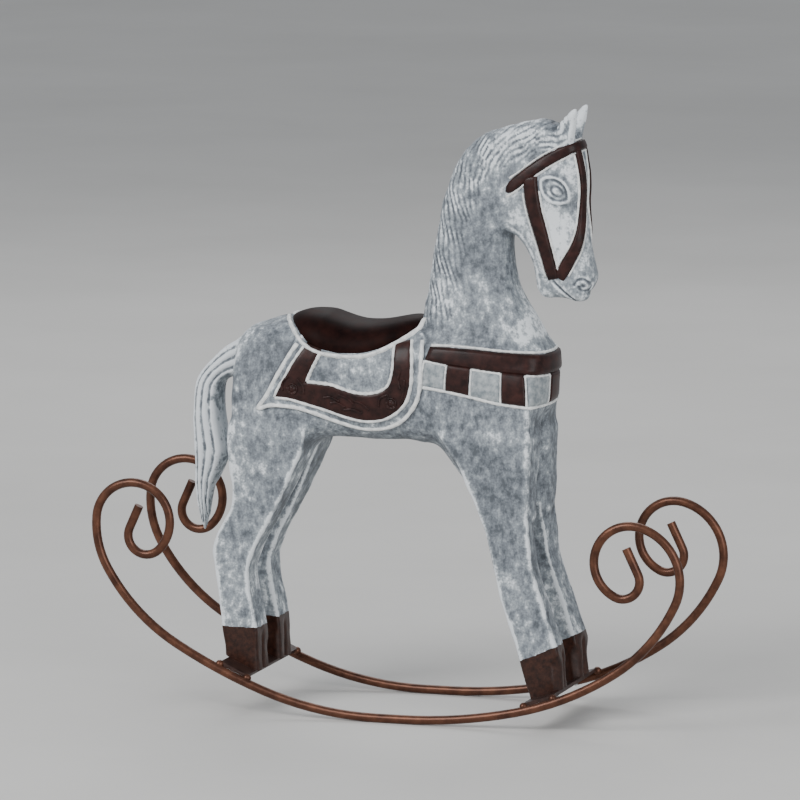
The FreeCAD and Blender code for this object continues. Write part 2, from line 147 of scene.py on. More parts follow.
def through(points, steps=8, closed=False):
    """A curve through the points: each span is the cubic whose end slopes are half the step
    between the neighbours on either side."""
    p = np.asarray(points, float)
    if closed:
        before, start, end, after = np.roll(p, 1, 0), p, np.roll(p, -1, 0), np.roll(p, -2, 0)
    else:
        start, end = p[:-1], p[1:]
        before = np.vstack([2 * p[0] - p[1], p[:-2]])
        after = np.vstack([p[2:], 2 * p[-1] - p[-2]])
    t = np.linspace(0, 1, steps, endpoint=False)[None, :, None]
    before, start, end, after = (q[:, None, :] for q in (before, start, end, after))
    curve = 0.5 * (
        2 * start
        + (end - before) * t
        + (2 * before - 5 * start + 4 * end - after) * t**2
        + (3 * start - before - 3 * end + after) * t**3
    )
    curve = curve.reshape(-1, p.shape[1])
    return curve if closed else np.vstack([curve, p[-1]])


def eased(table, at):
    """The table's other columns as smooth functions of its first, held flat outside it."""
    table = np.asarray(table, float)
    table = table[np.argsort(table[:, 0])]
    stations, values = table[:, 0], table[:, 1:]
    slopes = np.gradient(values, stations, axis=0)
    at = np.clip(at, stations[0], stations[-1])
    i = np.clip(np.searchsorted(stations, at) - 1, 0, len(stations) - 2)
    width = (stations[i + 1] - stations[i])[..., None]
    t = (at - stations[i])[..., None] / width
    blend = (
        values[i] * (2 * t**3 - 3 * t**2 + 1)
        + slopes[i] * width * (t**3 - 2 * t**2 + t)
        + values[i + 1] * (3 * t**2 - 2 * t**3)
        + slopes[i + 1] * width * (t**3 - t**2)
    )
    return [blend[..., k] for k in range(values.shape[1])]


print("halfway between 0 and 10, eased:", eased([(0.0, 0.0), (1.0, 10.0)], np.array([0.5]))[0])

# %% [markdown]
# The wood is described by a field: a number at every point of space, below 0 inside the wood and
# above 0 outside, close to the distance from the surface in millimetres.  Blocks could also be
# joined as meshes, but a field lets one block run softly into the next, as filler and a rasp leave
# a glued horse, and carving is then only a number that is added.

# %% Joining shapes


def ramp(value, low, high):
    """0 below low, 1 above high, smooth between."""
    t = np.clip((value - low) / (high - low), 0.0, 1.0)
    return t * t * (3 - 2 * t)


def melt(a, b, reach):
    """The nearer of two surfaces, run together like wax where they are within reach."""
    t = np.clip(0.5 + 0.5 * (b - a) / reach, 0.0, 1.0)
    return b * (1 - t) + a * t - reach * t * (1 - t)


def pinch(a, b, reach):
    """The overlap of two shapes, with the edge between them softened over reach."""
    return -melt(-a, -b, reach)


def rounded_section(a, b, half_a, half_b, power):
    """Distance from the curve |a/half_a|^power + |b/half_b|^power = 1, to first order."""
    u = np.maximum(np.abs(a) / half_a, 1e-4)
    w = np.maximum(np.abs(b) / half_b, 1e-4)
    reach = (u**power + w**power) ** (1 / power)
    slope = np.sqrt((u ** (power - 1) / half_a) ** 2 + (w ** (power - 1) / half_b) ** 2)
    return (reach - 1) * reach ** (power - 1) / slope


def boxy_section(a, b, half_a, half_b, corner):
    """Distance from a rectangle with rounded corners."""
    qa = np.abs(a) - half_a + corner
    qb = np.abs(b) - half_b + corner
    outside = np.hypot(np.maximum(qa, 0), np.maximum(qb, 0))
    return outside + np.minimum(np.maximum(qa, qb), 0) - corner


def bump_at(distance, reach, sharp=2):
    """1 at distance 0, falling smoothly to nothing past reach; a greater sharp has a flatter top."""
    return np.exp(-((distance / reach) ** sharp))


print("two surfaces 1 mm away melt to", round(float(melt(np.array(1.0), np.array(1.0), 4.0)), 2), "mm")


# %% [markdown]
# The head, neck and tail are cut from flat boards: a side outline is sawn out and its edges are
# carved round.  They are made the same way here.  The outline gives each point of the side view
# its depth inside the outline, and the board's half thickness and the reach of its rounding are
# spread from a few control points.

# %% Sawn outlines


class Sawn:
    """A side outline with its signed depth, half thickness and rounding on a fine grid."""

    def __init__(self, outline, controls, steps=6, cell=0.4, margin=8.0):
        self.curve = through(outline, steps, closed=True)
        self.low = self.curve.min(0) - margin
        self.cell = cell
        counts = np.ceil((np.ptp(self.curve, 0) + 2 * margin) / cell).astype(int) + 1
        gx = self.low[0] + cell * np.arange(counts[0])
        gz = self.low[1] + cell * np.arange(counts[1])
        px, pz = (g.ravel() for g in np.meshgrid(gx, gz, indexing="ij"))
        self.depth = self.signed(px, pz).reshape(counts)
        spread = np.zeros((2, px.size))
        total = np.zeros(px.size)
        for x, z, half, rounding, sigma in controls:
            weight = np.exp(-((px - x) ** 2 + (pz - z) ** 2) / (2 * sigma**2)) + 1e-9
            total += weight
            spread += weight * np.array([[half], [rounding]])
        self.half, self.rounding = (s.reshape(counts) for s in spread / total)

    def signed(self, px, pz):
        """Distance from the closed outline, less than 0 inside it."""
        a = self.curve.astype(np.float32)
        b = np.roll(a, -1, 0)
        edge = b - a
        length2 = (edge**2).sum(1) + 1e-9
        out = np.empty(px.size, np.float32)
        for i in range(0, px.size, 20000):
            x = px[i : i + 20000, None].astype(np.float32)
            z = pz[i : i + 20000, None].astype(np.float32)
            t = np.clip(((x - a[:, 0]) * edge[:, 0] + (z - a[:, 1]) * edge[:, 1]) / length2, 0, 1)
            gap = (x - a[:, 0] - t * edge[:, 0]) ** 2 + (z - a[:, 1] - t * edge[:, 1]) ** 2
            spans = (a[:, 1] > z) != (b[:, 1] > z)
            with np.errstate(divide="ignore", invalid="ignore"):
                crossing = a[:, 0] + (z - a[:, 1]) * edge[:, 0] / edge[:, 1]
            inside = (spans & (x < crossing)).sum(1) % 2 == 1
            out[i : i + 20000] = np.sqrt(gap.min(1)) * np.where(inside, -1, 1)
        return out

    def read(self, grid, x, z):
        """A grid's value at (x, z), straight between its four neighbours."""
        u = (x - self.low[0]) / self.cell
        w = (z - self.low[1]) / self.cell
        u = np.clip(u, 0, grid.shape[0] - 1.001)
        w = np.clip(w, 0, grid.shape[1] - 1.001)
        i, j = u.astype(int), w.astype(int)
        fu, fw = u - i, w - j
        low = grid[i, j] * (1 - fw) + grid[i, j + 1] * fw
        high = grid[i + 1, j] * (1 - fw) + grid[i + 1, j + 1] * fw
        return low * (1 - fu) + high * fu

    def field(self, x, y, z, power=2.3):
        """Below 0 inside: the edge distance and the half thickness make a rounded section."""
        depth = self.read(self.depth, x, z)
        half = self.read(self.half, x, z)
        rounding = self.read(self.rounding, x, z)
        return rounded_section(np.maximum(depth + rounding, 0), y, rounding, half, power)


disc = Sawn([(0, 5), (5, 0), (0, -5), (-5, 0)], [(0, 0, 1, 1, 5)], margin=2.0)
print("a small sawn disc is", round(-float(disc.depth.min()), 1), "mm deep in the middle")

# %% The head board and the tail board
HEAD_OUTLINE = [
    (6.5, 164), (7.8, 182), (9.2, 189), (10.4, 198), (11.2, 205), (12.5, 211.5), (13.8, 218.3),
    (15.2, 227.3), (17.1, 234), (19.4, 240.5), (22.8, 248), (27.5, 254.2), (34, 259.6),
    (41.5, 262.8), (50.7, 265.6), (59.8, 267.4), (66, 266.8), (71, 264.5), (76.5, 260.5),
    (79.4, 256), (80.6, 249.3), (81.4, 244), (81.6, 238), (81.4, 231.6), (81.8, 225),
    (82.6, 218.3), (83.6, 211.7), (84.9, 206), (86, 201.6), (86.4, 197.6), (84.8, 193.6),
    (83.2, 191.4), (82.9, 189.4), (81, 187.4), (77, 187), (73.5, 187.9), (69, 188.3),
    (64, 188.2), (61.5, 189.2), (60, 192), (59.6, 195), (59, 200), (58.1, 204.3),
    (56.7, 207.3), (54.9, 210.8), (52.6, 213.4), (50.2, 215.4), (48.3, 215), (47.6, 211),
    (47.7, 207), (48.1, 204), (49.1, 198.4), (50.5, 192.7), (52.8, 188.2), (55.5, 184),
    (58.2, 180), (60.5, 175.6), (62.4, 171), (62.8, 160), (40, 150), (20, 152),
]
# x, z, half thickness, reach of the rounding, how far this control spreads
HEAD_CONTROLS = [
    (30, 158, 21.5, 17, 9), (30, 170, 18.2, 17, 9), (32, 180, 16, 16, 9), (31, 192, 14.2, 15, 9),
    (30, 206, 12.2, 13, 9), (32, 220, 11.2, 11, 8), (32, 235, 10.4, 9, 8), (40, 248, 10, 8, 8),
    (50, 258, 9, 7, 7), (62, 262, 8.2, 6, 6), (66, 240, 11.6, 8, 7), (57, 228, 11.9, 8, 7),
    (62, 215, 10.6, 7.5, 7), (68, 205, 8.8, 6.5, 6), (74, 196, 7.8, 6, 5), (81, 192, 7.2, 5.5, 4),
    (65, 191, 6.2, 5, 5), (78, 250, 8.4, 6.5, 6), (78, 222, 8.2, 6.5, 6), (82, 204, 6.6, 5.5, 5),
]
TAIL_OUTLINE = [
    (-70, 160), (-77.8, 165.2), (-81.6, 163.6), (-85.4, 161.0), (-89.2, 157.7), (-93, 153.8),
    (-96.3, 150.1), (-99.2, 145.4), (-100.6, 139), (-101.1, 132), (-101.2, 125), (-101, 117),
    (-100.6, 108), (-100.6, 98), (-100, 90), (-98.6, 82.4), (-96.6, 76.2), (-95, 80.5),
    (-93.6, 87.5), (-92.6, 93), (-91.4, 97), (-89.6, 98.8), (-87.4, 103.5), (-85, 108.6),
    (-83.4, 113.8), (-84.2, 118.8), (-85.4, 125.3), (-86.4, 132), (-86.8, 138.8),
    (-86.0, 143.6), (-82.5, 146.0), (-76, 146.5), (-70, 148),
]
TAIL_CONTROLS = [
    (-76, 156, 7.4, 5.5, 6), (-84, 154, 8.2, 6, 6), (-93, 145, 8.6, 6, 6), (-94, 128, 8.4, 6.2, 8),
    (-92, 112, 8.0, 6.2, 6), (-94, 101, 6.4, 5, 5), (-96.5, 92, 4.8, 3.6, 4), (-97, 83, 3.2, 2.6, 4),
]
head_board = Sawn(HEAD_OUTLINE, HEAD_CONTROLS)
tail_board = Sawn(TAIL_OUTLINE, TAIL_CONTROLS)
print("head board grid", head_board.depth.shape, "tail board grid", tail_board.depth.shape)

# %% [markdown]
# The body and the legs are thick blocks, so they are given by sections: the body by upright ones
# along its length, the legs by level ones up their height.  A leg keeps the rectangle it was sawn
# from, with its corners only just taken off, and the front corners of its hoof are cut away.

# %% Sections of the body
BODY_SECTIONS = [
    # x, z low, z high, half width
    (-80.0, 99.0, 161.0, 21.0),
    (-75.0, 93.0, 168.5, 22.8),
    (-66.0, 92.0, 173.0, 23.6),
    (-56.0, 102.0, 175.4, 24.0),
    (-48.0, 116.0, 175.0, 23.9),
    (-38.0, 121.0, 173.0, 23.4),
    (-16.0, 122.0, 170.5, 22.6),
    (6.0, 121.8, 173.5, 22.6),
    (18.0, 119.0, 176.0, 22.9),
    (28.0, 106.0, 177.0, 23.3),
    (44.0, 94.0, 175.0, 23.3),
    (56.0, 92.0, 171.0, 22.8),
    (68.0, 92.0, 167.5, 22.4),
]
BREAST_SECTIONS = [
    # z, x of the breast at its sides, how much further forward its middle stands
    (100.0, 60.6, 0.6),
    (123.0, 61.0, 0.8),
    (136.0, 61.8, 1.6),
    (143.0, 62.4, 3.8),
    (150.0, 62.0, 5.0),
    (158.0, 61.8, 5.4),
    (166.0, 61.0, 4.2),
    (172.0, 59.0, 2.0),
]
REAR_FACE_X = -77.5
print("body sections", len(BODY_SECTIONS), "breast sections", len(BREAST_SECTIONS))

# %% Sections of the legs and the ears
HIND_LEG = [
    # z, x back, x front, y inner, y outer
    (130.0, -77.6, -41.0, 0.2, 23.7),
    (121.0, -77.6, -42.6, 0.4, 23.7),
    (115.0, -77.4, -44.2, 0.8, 23.6),
    (107.0, -77.1, -48.0, 2.4, 23.5),
    (96.0, -76.2, -53.2, 5.0, 23.3),
    (90.0, -77.2, -56.2, 6.0, 23.1),
    (84.0, -80.6, -59.3, 6.8, 23.0),
    (78.0, -83.8, -62.7, 7.3, 23.0),
    (71.0, -85.7, -66.0, 7.7, 23.2),
    (64.0, -84.8, -68.3, 7.8, 23.4),
    (56.0, -83.2, -68.1, 7.8, 23.6),
    (46.0, -82.0, -66.2, 7.6, 23.9),
    (37.0, -80.8, -64.3, 7.4, 24.2),
    (24.0, -79.0, -63.6, 7.2, 24.4),
    (8.0, -77.4, -63.2, 7.2, 24.4),
]
FORE_LEG = [
    (130.0, 19.0, 61.4, 0.2, 22.9),
    (122.0, 24.4, 61.0, 0.4, 22.9),
    (115.0, 29.0, 60.8, 0.6, 22.9),
    (107.0, 32.2, 60.5, 0.8, 22.9),
    (97.0, 36.8, 60.4, 2.4, 22.9),
    (88.0, 40.3, 61.6, 4.6, 23.0),
    (79.0, 43.3, 62.5, 6.2, 23.2),
    (70.0, 45.4, 63.8, 7.0, 23.4),
    (61.0, 47.4, 66.6, 7.4, 23.7),
    (52.0, 50.2, 69.7, 7.5, 24.1),
    (43.0, 53.4, 72.7, 7.4, 24.4),
    (34.0, 56.6, 75.9, 7.2, 24.7),
    (20.0, 60.6, 77.2, 7.0, 24.8),
    (4.0, 66.0, 78.2, 7.0, 24.8),
]
EAR = [
    # z, x back, x front, y inner, y outer
    (255.0, 66.0, 77.0, 1.8, 9.2),
    (260.0, 67.4, 77.6, 2.2, 10.0),
    (264.0, 69.3, 78.3, 3.0, 10.5),
    (268.0, 72.2, 79.0, 4.6, 10.7),
    (271.0, 75.2, 79.3, 6.6, 10.4),
    (273.4, 77.8, 79.4, 8.3, 9.4),
]
LEG_BLOCK_TOP = 128.0    # the legs run this far up inside the body
HOOF_TOP, HOOF_SQUARE = 27.0, 35.0    # the bevel is whole below the first and gone above the second
HIND_BEVEL, FORE_BEVEL = 1.4, 3.8
print("leg sections", len(HIND_LEG), len(FORE_LEG))

# %% The blocks as fields


def body_field(x, y, z):
    """Rounded upright sections, cut off behind, and in front by a breast that bows forward."""
    low, high, half = eased(BODY_SECTIONS, x)
    squareness = 2.9 + 2.6 * ramp(x, 44.0, 58.0) * (1 - ramp(z, 140.0, 160.0))
    side = rounded_section(z - (low + high) / 2, y, (high - low) / 2, half, squareness)
    face, bow = eased(BREAST_SECTIONS, z)
    breast = x - face - bow * (1 - (y / 21.0) ** 2)
    return pinch(pinch(side, REAR_FACE_X - x, 5.0), breast * 0.92, 1.6 + 2.4 * ramp(z, 140.0, 150.0))


def leg_field(x, y, z, table, hoof_bevel):
    """Rounded rectangles, the same on both sides of the middle plane; the front corners of the
    hoof are cut off at 45 degrees, hoof_bevel deep."""
    back, front, inner, outer = eased(table, z)
    leg = boxy_section(
        x - (back + front) / 2,
        np.abs(y) - (inner + outer) / 2,
        (front - back) / 2,
        (outer - inner) / 2,
        1.4,
    )
    bevel = (hoof_bevel + 0.5) * (1 - ramp(z, HOOF_TOP, HOOF_SQUARE)) - 0.5
    beside_hoof = np.maximum(np.abs(y) - outer, inner - np.abs(y))
    corner = (x - front + beside_hoof + bevel) * 0.707
    return pinch(pinch(leg * 0.93, corner, 0.8), z - LEG_BLOCK_TOP, 4.0)


def ear_field(x, y, z):
    """Oval level sections, the same on both sides, cut off at the tip and inside the head."""
    back, front, inner, outer = eased(EAR, z)
    along, across = x - (back + front) / 2, np.abs(y) - (inner + outer) / 2
    ear = rounded_section(along, across, (front - back) / 2, (outer - inner) / 2, 2.2)
    return pinch(pinch(ear * 0.8, z - 273.4, 1.0), 252.0 - z, 2.0)


def joined(x, y, z, near):
    """The named blocks run into each other, uncarved but for the flutes of the tail."""
    blocks = {
        "body": (0.0, lambda: body_field(x, y, z)),
        "hind": (5.0, lambda: leg_field(x, y, z, HIND_LEG, HIND_BEVEL)),
        "fore": (5.0, lambda: leg_field(x, y, z, FORE_LEG, FORE_BEVEL)),
        "head": (5.0, lambda: head_board.field(x, y, z)),
        "ear": (2.0, lambda: ear_field(x, y, z)),
        "tail": (2.0, lambda: tail_board.field(x, y, z) + tail_flutes(x, y, z)),
    }
    field = blocks[near[0]][1]()
    for name in near[1:]:
        reach, block = blocks[name]
        field = melt(field, block(), reach)
    return field


middle = body_field(*np.array([[-20.0], [0.0], [148.0]]))
print("the middle of the body is", round(-float(middle[0]), 1), "mm deep")

# %% [markdown]
# The carving itself is a depth added to the shape: more where the gouge went in, less where the
# wood was left proud.  Locks of the mane are staggered slanting cuts, the tail has long flutes,
# the saddle cloth is left standing, and a shallow unevenness runs everywhere, as a knife leaves it.

# %% Marks of the knife
rng = np.random.default_rng(11)
WAVES = [(rng.normal(size=3), rng.uniform(8, 15), rng.uniform(0, 6.28)) for _ in range(7)]
FACETS = [(rng.normal(size=3), rng.uniform(4.5, 7), rng.uniform(0, 6.28)) for _ in range(5)]


def unevenness(x, y, z):
    """A few long waves, and shorter ones folded into shallow hollows, in every direction."""
    total = 0.0
    for heading, length, phase in WAVES:
        k = heading / np.linalg.norm(heading) * 6.283 / length
        total = total + 0.06 * np.sin(k[0] * x + k[1] * y + k[2] * z + phase)
    for heading, length, phase in FACETS:
        k = heading / np.linalg.norm(heading) * 3.1416 / length
        total = total + 0.03 * np.abs(np.sin(k[0] * x + k[1] * y + k[2] * z + phase))
    return total


print("waves", len(WAVES), "facets", len(FACETS))

# %% [markdown]
# Hair is a set of grooves.  They could be modelled one by one, but hair follows the edge of the
# board it is cut in, so each groove is given by where a point lies along that edge and how far
# from it.  The mane is short slanting cuts, staggered at random, and the tail is parted into long
# locks that meet at its tip.

# %% Mane and tail
CREST = np.array([
    (6.5, 166), (7.8, 182), (10.4, 198), (12.5, 211.5), (15.2, 227.3), (19.4, 240.5), (27.5, 254.2),
    (41.5, 262.8), (59.8, 267.4), (70, 265),
])
REAR_OF_TAIL = np.array([
    (-66, 170), (-77.8, 165.2), (-85.4, 161.0), (-93, 153.8), (-99.2, 145.4), (-101.1, 132), (-101, 117),
    (-100.6, 98), (-98.6, 82.4), (-96.6, 70),
])
FRONT_OF_TAIL = np.array([
    (-64, 148), (-76, 146.5), (-82.5, 146), (-86, 143.6), (-86.8, 138.8), (-86.4, 132), (-84.8, 122),
    (-83.4, 113.8), (-85, 108.6), (-87.4, 103.5), (-91.4, 97), (-93.6, 87.5), (-95.4, 70),
])


def beside(x, z, curve):
    """How far along a curve of the side view, and how far from it, each point is."""
    along = np.concatenate([[0], np.cumsum(np.hypot(*np.diff(curve, axis=0).T))])
    near = np.full(np.broadcast(x, z).shape, 1e9)
    where = np.zeros_like(near)
    for a, b, s in zip(curve[:-1], curve[1:], along):
        edge = b - a
        run = np.hypot(*edge)
        t = np.clip(((x - a[0]) * edge[0] + (z - a[1]) * edge[1]) / run**2, 0, 1)
        gap = np.hypot(x - a[0] - t * edge[0], z - a[1] - t * edge[1])
        closer = gap < near
        near = np.where(closer, gap, near)
        where = np.where(closer, s + t * run, where)
    return where, near


def mane_cuts(x, y, z):
    """Slanting cuts 2.6 mm apart and about 11 mm long, staggered, fading 13 to 18 mm from the crest."""
    along, away = beside(x, z, through(CREST, 3))
    bend = 0.7 * np.sin(along * 0.19) + 0.5 * np.sin(along * 0.43 + away * 0.3)
    across = (along * 0.42 + away + bend) / 2.6
    number = np.floor(across)
    stroke = (along * 0.92 - away * 0.38) / 11.5 + np.abs(np.sin(number * 12.9898) * 43.7) % 1.0
    groove = np.sin(3.1416 * (across - number)) ** 0.8
    length = np.abs(np.sin(3.1416 * stroke)) ** 0.6
    fade = 1 - ramp(away, 13.0, 18.5)
    patchy = 0.65 + 0.35 * np.sin(x * 0.31 + z * 0.17) * np.sin(z * 0.23 - x * 0.11 + 1.0)
    return 0.75 * (1 - groove) * length * fade * patchy + 0.12 * fade


def tail_flutes(x, y, z):
    """Long grooves that part the tail into even locks, from its root all the way to its tip."""
    _, behind = beside(x, z, through(REAR_OF_TAIL, 3))
    _, ahead = beside(x, z, through(FRONT_OF_TAIL, 3))
    share = behind / (behind + ahead + 0.5) + 0.012 * np.abs(y) + 0.02 * np.sin(z * 0.11)
    groove = 0.5 + 0.5 * np.cos(6.283 * 4.2 * share)
    return 0.85 * groove**2.2 * ramp(-x, 78.0, 81.0)


along, away = beside(np.array(20.0), np.array(230.0), CREST)
print("(20, 230) is", round(float(along), 1), "mm along the crest,", round(float(away), 1), "mm off it")

# %% [markdown]
# The face is cut with a small gouge.  The eye is an oval lid left proud, a sunk ring inside it and
# a ring for the pupil; the nostril is a curl; the mouth is one slanting cut.  Each is a depth that
# depends on the distance from a line or a ring, so the cuts have soft sides, as a gouge leaves them.

# %% Eye, nostril, mouth and ear
EYE_X, EYE_Z, EYE_TILT = 70.2, 237.2, math.radians(-38)
EYE_LONG, EYE_HIGH = 6.6, 4.6
NOSTRIL_X, NOSTRIL_Z = 81.6, 194.6
JAW = np.array([
    (44.8, 220.0), (48.6, 219.3), (52.4, 216.8), (55.6, 212.6), (57.8, 208.0), (59.2, 203.0),
    (60.4, 197.0), (61.0, 191.0),
])


def eye_cuts(x, z):
    """Below 0 on the lid's oval and the eyeball, above 0 in the two rings."""
    ex, ez = x - EYE_X, z - EYE_Z
    u = ex * math.cos(EYE_TILT) + ez * math.sin(EYE_TILT)
    v = -ex * math.sin(EYE_TILT) + ez * math.cos(EYE_TILT)
    almond = EYE_HIGH * (1 - 0.25 * (u / 7.5) ** 2).clip(0.3)
    lid = np.hypot(u / EYE_LONG, v / almond)
    pupil = np.hypot((u - 0.9) / EYE_LONG, v / EYE_HIGH)
    cuts = -0.9 * bump_at(lid - 1.12, 0.17) + 0.35 * bump_at(lid - 0.84, 0.15)
    return cuts + 0.5 * bump_at(pupil - 0.42, 0.13) - 0.25 * bump_at(pupil, 0.22)


def muzzle_cuts(x, z):
    """A curl for the nostril, whose radius grows with the turn, and the slanting cut of the mouth."""
    nx, nz = x - NOSTRIL_X, z - NOSTRIL_Z
    radius = np.hypot(nx, nz)
    turn = np.arctan2(nz, nx)
    nostril = 0.55 * bump_at(radius - 2.6 - 0.35 * turn, 0.6) * (radius < 5) + 0.8 * bump_at(radius, 0.9)
    line = 195.8 - 0.95 * (x - 69.0)
    mouth = 0.9 * bump_at(z - line, 0.8) * ramp(x, 67.6, 69.4) * (1 - ramp(x, 76.5, 78.5))
    return nostril + mouth


def face_carving(x, y, z):
    """Eye, muzzle, the raised edge of the jaw and the hollow of the ear, on both sides."""
    hollow = 1.3 * bump_at(x - 75.2 - 0.25 * (z - 265), 1.5) * bump_at(z - 265.0, 3.6)
    along, jaw = beside(x, z, through(JAW, 3))
    jaw_edge = -0.6 * bump_at(jaw, 1.6, 4) * ramp(along, 0.5, 6.0) * ramp(z, 190.0, 194.0)
    cuts = eye_cuts(x, z) + muzzle_cuts(x, z) + jaw_edge + hollow * (np.abs(y) > 6.0)
    return np.where(np.abs(y) > 2.0, cuts, 0.0)


print("depth in the middle of the eye", round(float(eye_cuts(np.array(EYE_X), np.array(EYE_Z))), 2), "mm")

# %% [markdown]
# Three cuts are left: the hoof's cleft, the hollow up the breast between the forelegs, and the step
# at the edge of the saddle cloth, where the body round it was cut back so that the cloth stands out.

# %% Hooves, breast and cloth
CLOTH_EDGE = [
    (-44.0, 170.0), (-48.4, 161.9), (-54.0, 152.2), (-59.4, 142.2), (-63.4, 136.3), (-57.6, 137.8),
    (-50.6, 137.8), (-44.2, 137.0), (-37.3, 135.0), (-30.3, 132.5), (-23.3, 130.3), (-16.3, 128.8),
    (-9.4, 128.7), (-2.4, 130.2), (3.2, 133.3), (7.6, 138.0), (10.4, 143.0), (11.7, 149.0),
    (12.0, 157.0), (12.0, 165.0), (11.0, 172.0), (-16, 178),
]
cloth = Sawn(CLOTH_EDGE, [(-20, 150, 1, 1, 20)], steps=4, cell=0.5, margin=4.0)


def hoof_clefts(x, y, z):
    """A shallow upright cleft in the middle of each hoof, front and back."""
    cleft = 1.1 * bump_at(np.abs(y) - 16.0, 1.5)
    return cleft * (1 - ramp(z, 30.0, 36.0))


def breast_groove(x, y, z):
    """A hollow up the middle of the breast between the forelegs, closed by an arch."""
    width = 2.5 + 0.11 * np.clip(140 - z, 0, 60)
    depth = 4.2 * (1 - ramp(z, 128.0, 141.0))
    return depth * bump_at(y, width) * ramp(x, 46.0, 54.0)


def cloth_step(x, y, z):
    """The cloth stands 0.6 mm proud of the body, and fades out towards the back."""
    edge = cloth.read(cloth.depth, x, z)
    return -0.6 * (1 - ramp(edge, -0.35, 0.45)) * ramp(np.abs(y), 8.0, 17.0)


def carving(x, y, z):
    """Everything that is cut into the wood or left proud of it."""
    cuts = unevenness(x, y, z) + cloth_step(x, y, z) + breast_groove(x, y, z)
    cuts = cuts + mane_cuts(x, y, z) * ramp(z, 172.0, 180.0) * (x < 76)
    cuts = cuts + hoof_clefts(x, y, z)
    return cuts + face_carving(x, y, z) * (z > 184)


print("cloth edge grid", cloth.depth.shape)

# %% [markdown]
# To turn the field into a mesh, space is divided into small cubes.  Wherever the field changes
# sign along the edge of a cube, the surface crosses there.  Every cube that is crossed gets one
# vertex, at the middle of its crossings, and every crossed edge gets the face that joins the four
# cubes round it.  It is all done with whole arrays, and the result is a closed, even skin.

# %% From field to mesh


def skin(field, low, high, step):
    """Vertices and four-cornered faces of the surface where field is 0, faces outwards."""
    axes = [np.arange(a, b + step, step) for a, b in zip(low, high)]
    x, y, z = np.ix_(*axes)
    values = np.full([len(axis) for axis in axes], step, np.float32)
    inner = (slice(1, -1),) * 3
    values[inner] = field(x[1:-1], y[:, 1:-1], z[:, :, 1:-1])
    shape = values.shape
    strides = np.array([shape[1] * shape[2], shape[2], 1])
    cells, places = [], []
    for axis in range(3):
        lower = np.moveaxis(values, axis, 0)[:-1]
        upper = np.moveaxis(values, axis, 0)[1:]
        crossed = (lower < 0) != (upper < 0)
        index = np.argwhere(crossed)
        before, after = lower[crossed], upper[crossed]
        order = [axis] + [k for k in range(3) if k != axis]
        point = np.empty_like(index)
        point[:, order] = index
        u, w = (axis + 1) % 3, (axis + 2) % 3
        kept = (point[:, u] > 0) & (point[:, w] > 0)
        kept &= (point[:, u] < shape[u] - 1) & (point[:, w] < shape[w] - 1)
        point, before, after = point[kept], before[kept], after[kept]
        place = point.astype(float)
        place[:, axis] += before / (before - after)
        corners = []
        for du, dw in ((0, 0), (1, 0), (1, 1), (0, 1)):
            corner = point.copy()
            corner[:, u] -= du
            corner[:, w] -= dw
            corners.append(corner @ strides)
        quad = np.stack(corners, 1)
        quad[before >= 0] = quad[before >= 0][:, ::-1]
        cells.append(quad)
        places.append(np.repeat(place[:, None, :], 4, 1))
    cells = np.concatenate(cells)
    places = np.concatenate(places).reshape(-1, 3)
    used, faces = np.unique(cells.ravel(), return_inverse=True)
    share = np.bincount(faces)
    verts = np.stack([np.bincount(faces, places[:, k]) / share for k in range(3)], 1)
    return np.array(low) + verts * step, faces.reshape(-1, 4)


ball, squares = skin(lambda x, y, z: np.sqrt(x * x + y * y + z * z) - 5.0, (-7,) * 3, (7,) * 3, 0.5)
print("a ball of radius 5 mm has", len(squares), "faces and reaches", round(float(ball.max()), 2), "mm")

# %% [markdown]
# Paint wears off where wood stands proud, so each vertex is compared with the average of its
# neighbours, and the paint reads the result later.  A saw cut is flat and sharp, which small cubes
# can't give, so each block is cut afterwards by a plane and the hole is closed with one flat face.

# %% Worn edges, mesh objects and saw cuts


def sharpness(verts, faces, passes=3):
    """How far each vertex stands proud of its neighbours (above 0) or below them, in mm."""
    ends = np.concatenate([faces[:, [0, 1]], faces[:, [1, 2]], faces[:, [2, 3]], faces[:, [3, 0]]])
    a = np.concatenate([ends[:, 0], ends[:, 1]])
    b = np.concatenate([ends[:, 1], ends[:, 0]])
    count = np.maximum(np.bincount(a, minlength=len(verts)), 1)
    corner = verts[faces]
    cross = np.cross(corner[:, 2] - corner[:, 0], corner[:, 3] - corner[:, 1])
    corners = faces.ravel()
    sums = [np.bincount(corners, np.repeat(cross[:, k], 4), len(verts)) for k in range(3)]
    normal = np.stack(sums, 1)
    normal /= np.linalg.norm(normal, axis=1, keepdims=True) + 1e-9
    average = verts.copy()
    for _ in range(passes):
        average = np.stack([np.bincount(a, average[b, k], len(verts)) / count for k in range(3)], 1)
    return ((verts - average) * normal).sum(1)


def make_object(name, verts, faces, smooth=True, **attributes):
    """A mesh object from millimetre vertices, riding on the frame's one body."""
    mesh = bpy.data.meshes.new(name)
    place = np.asarray(verts, float).copy()
    place[:, 0] += SHIFT_X
    mesh.from_pydata((place * MM).tolist(), [], np.asarray(faces).tolist())
    for label, values in attributes.items():
        layer = mesh.attributes.new(label, "FLOAT", "POINT")
        layer.data.foreach_set("value", np.asarray(values, np.float32))
    mesh.validate()
    mesh.polygons.foreach_set("use_smooth", [smooth] * len(mesh.polygons))
    item = bpy.data.objects.new(name, mesh)
    bpy.context.scene.collection.objects.link(item)
    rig.ride(item, "root")
    return item


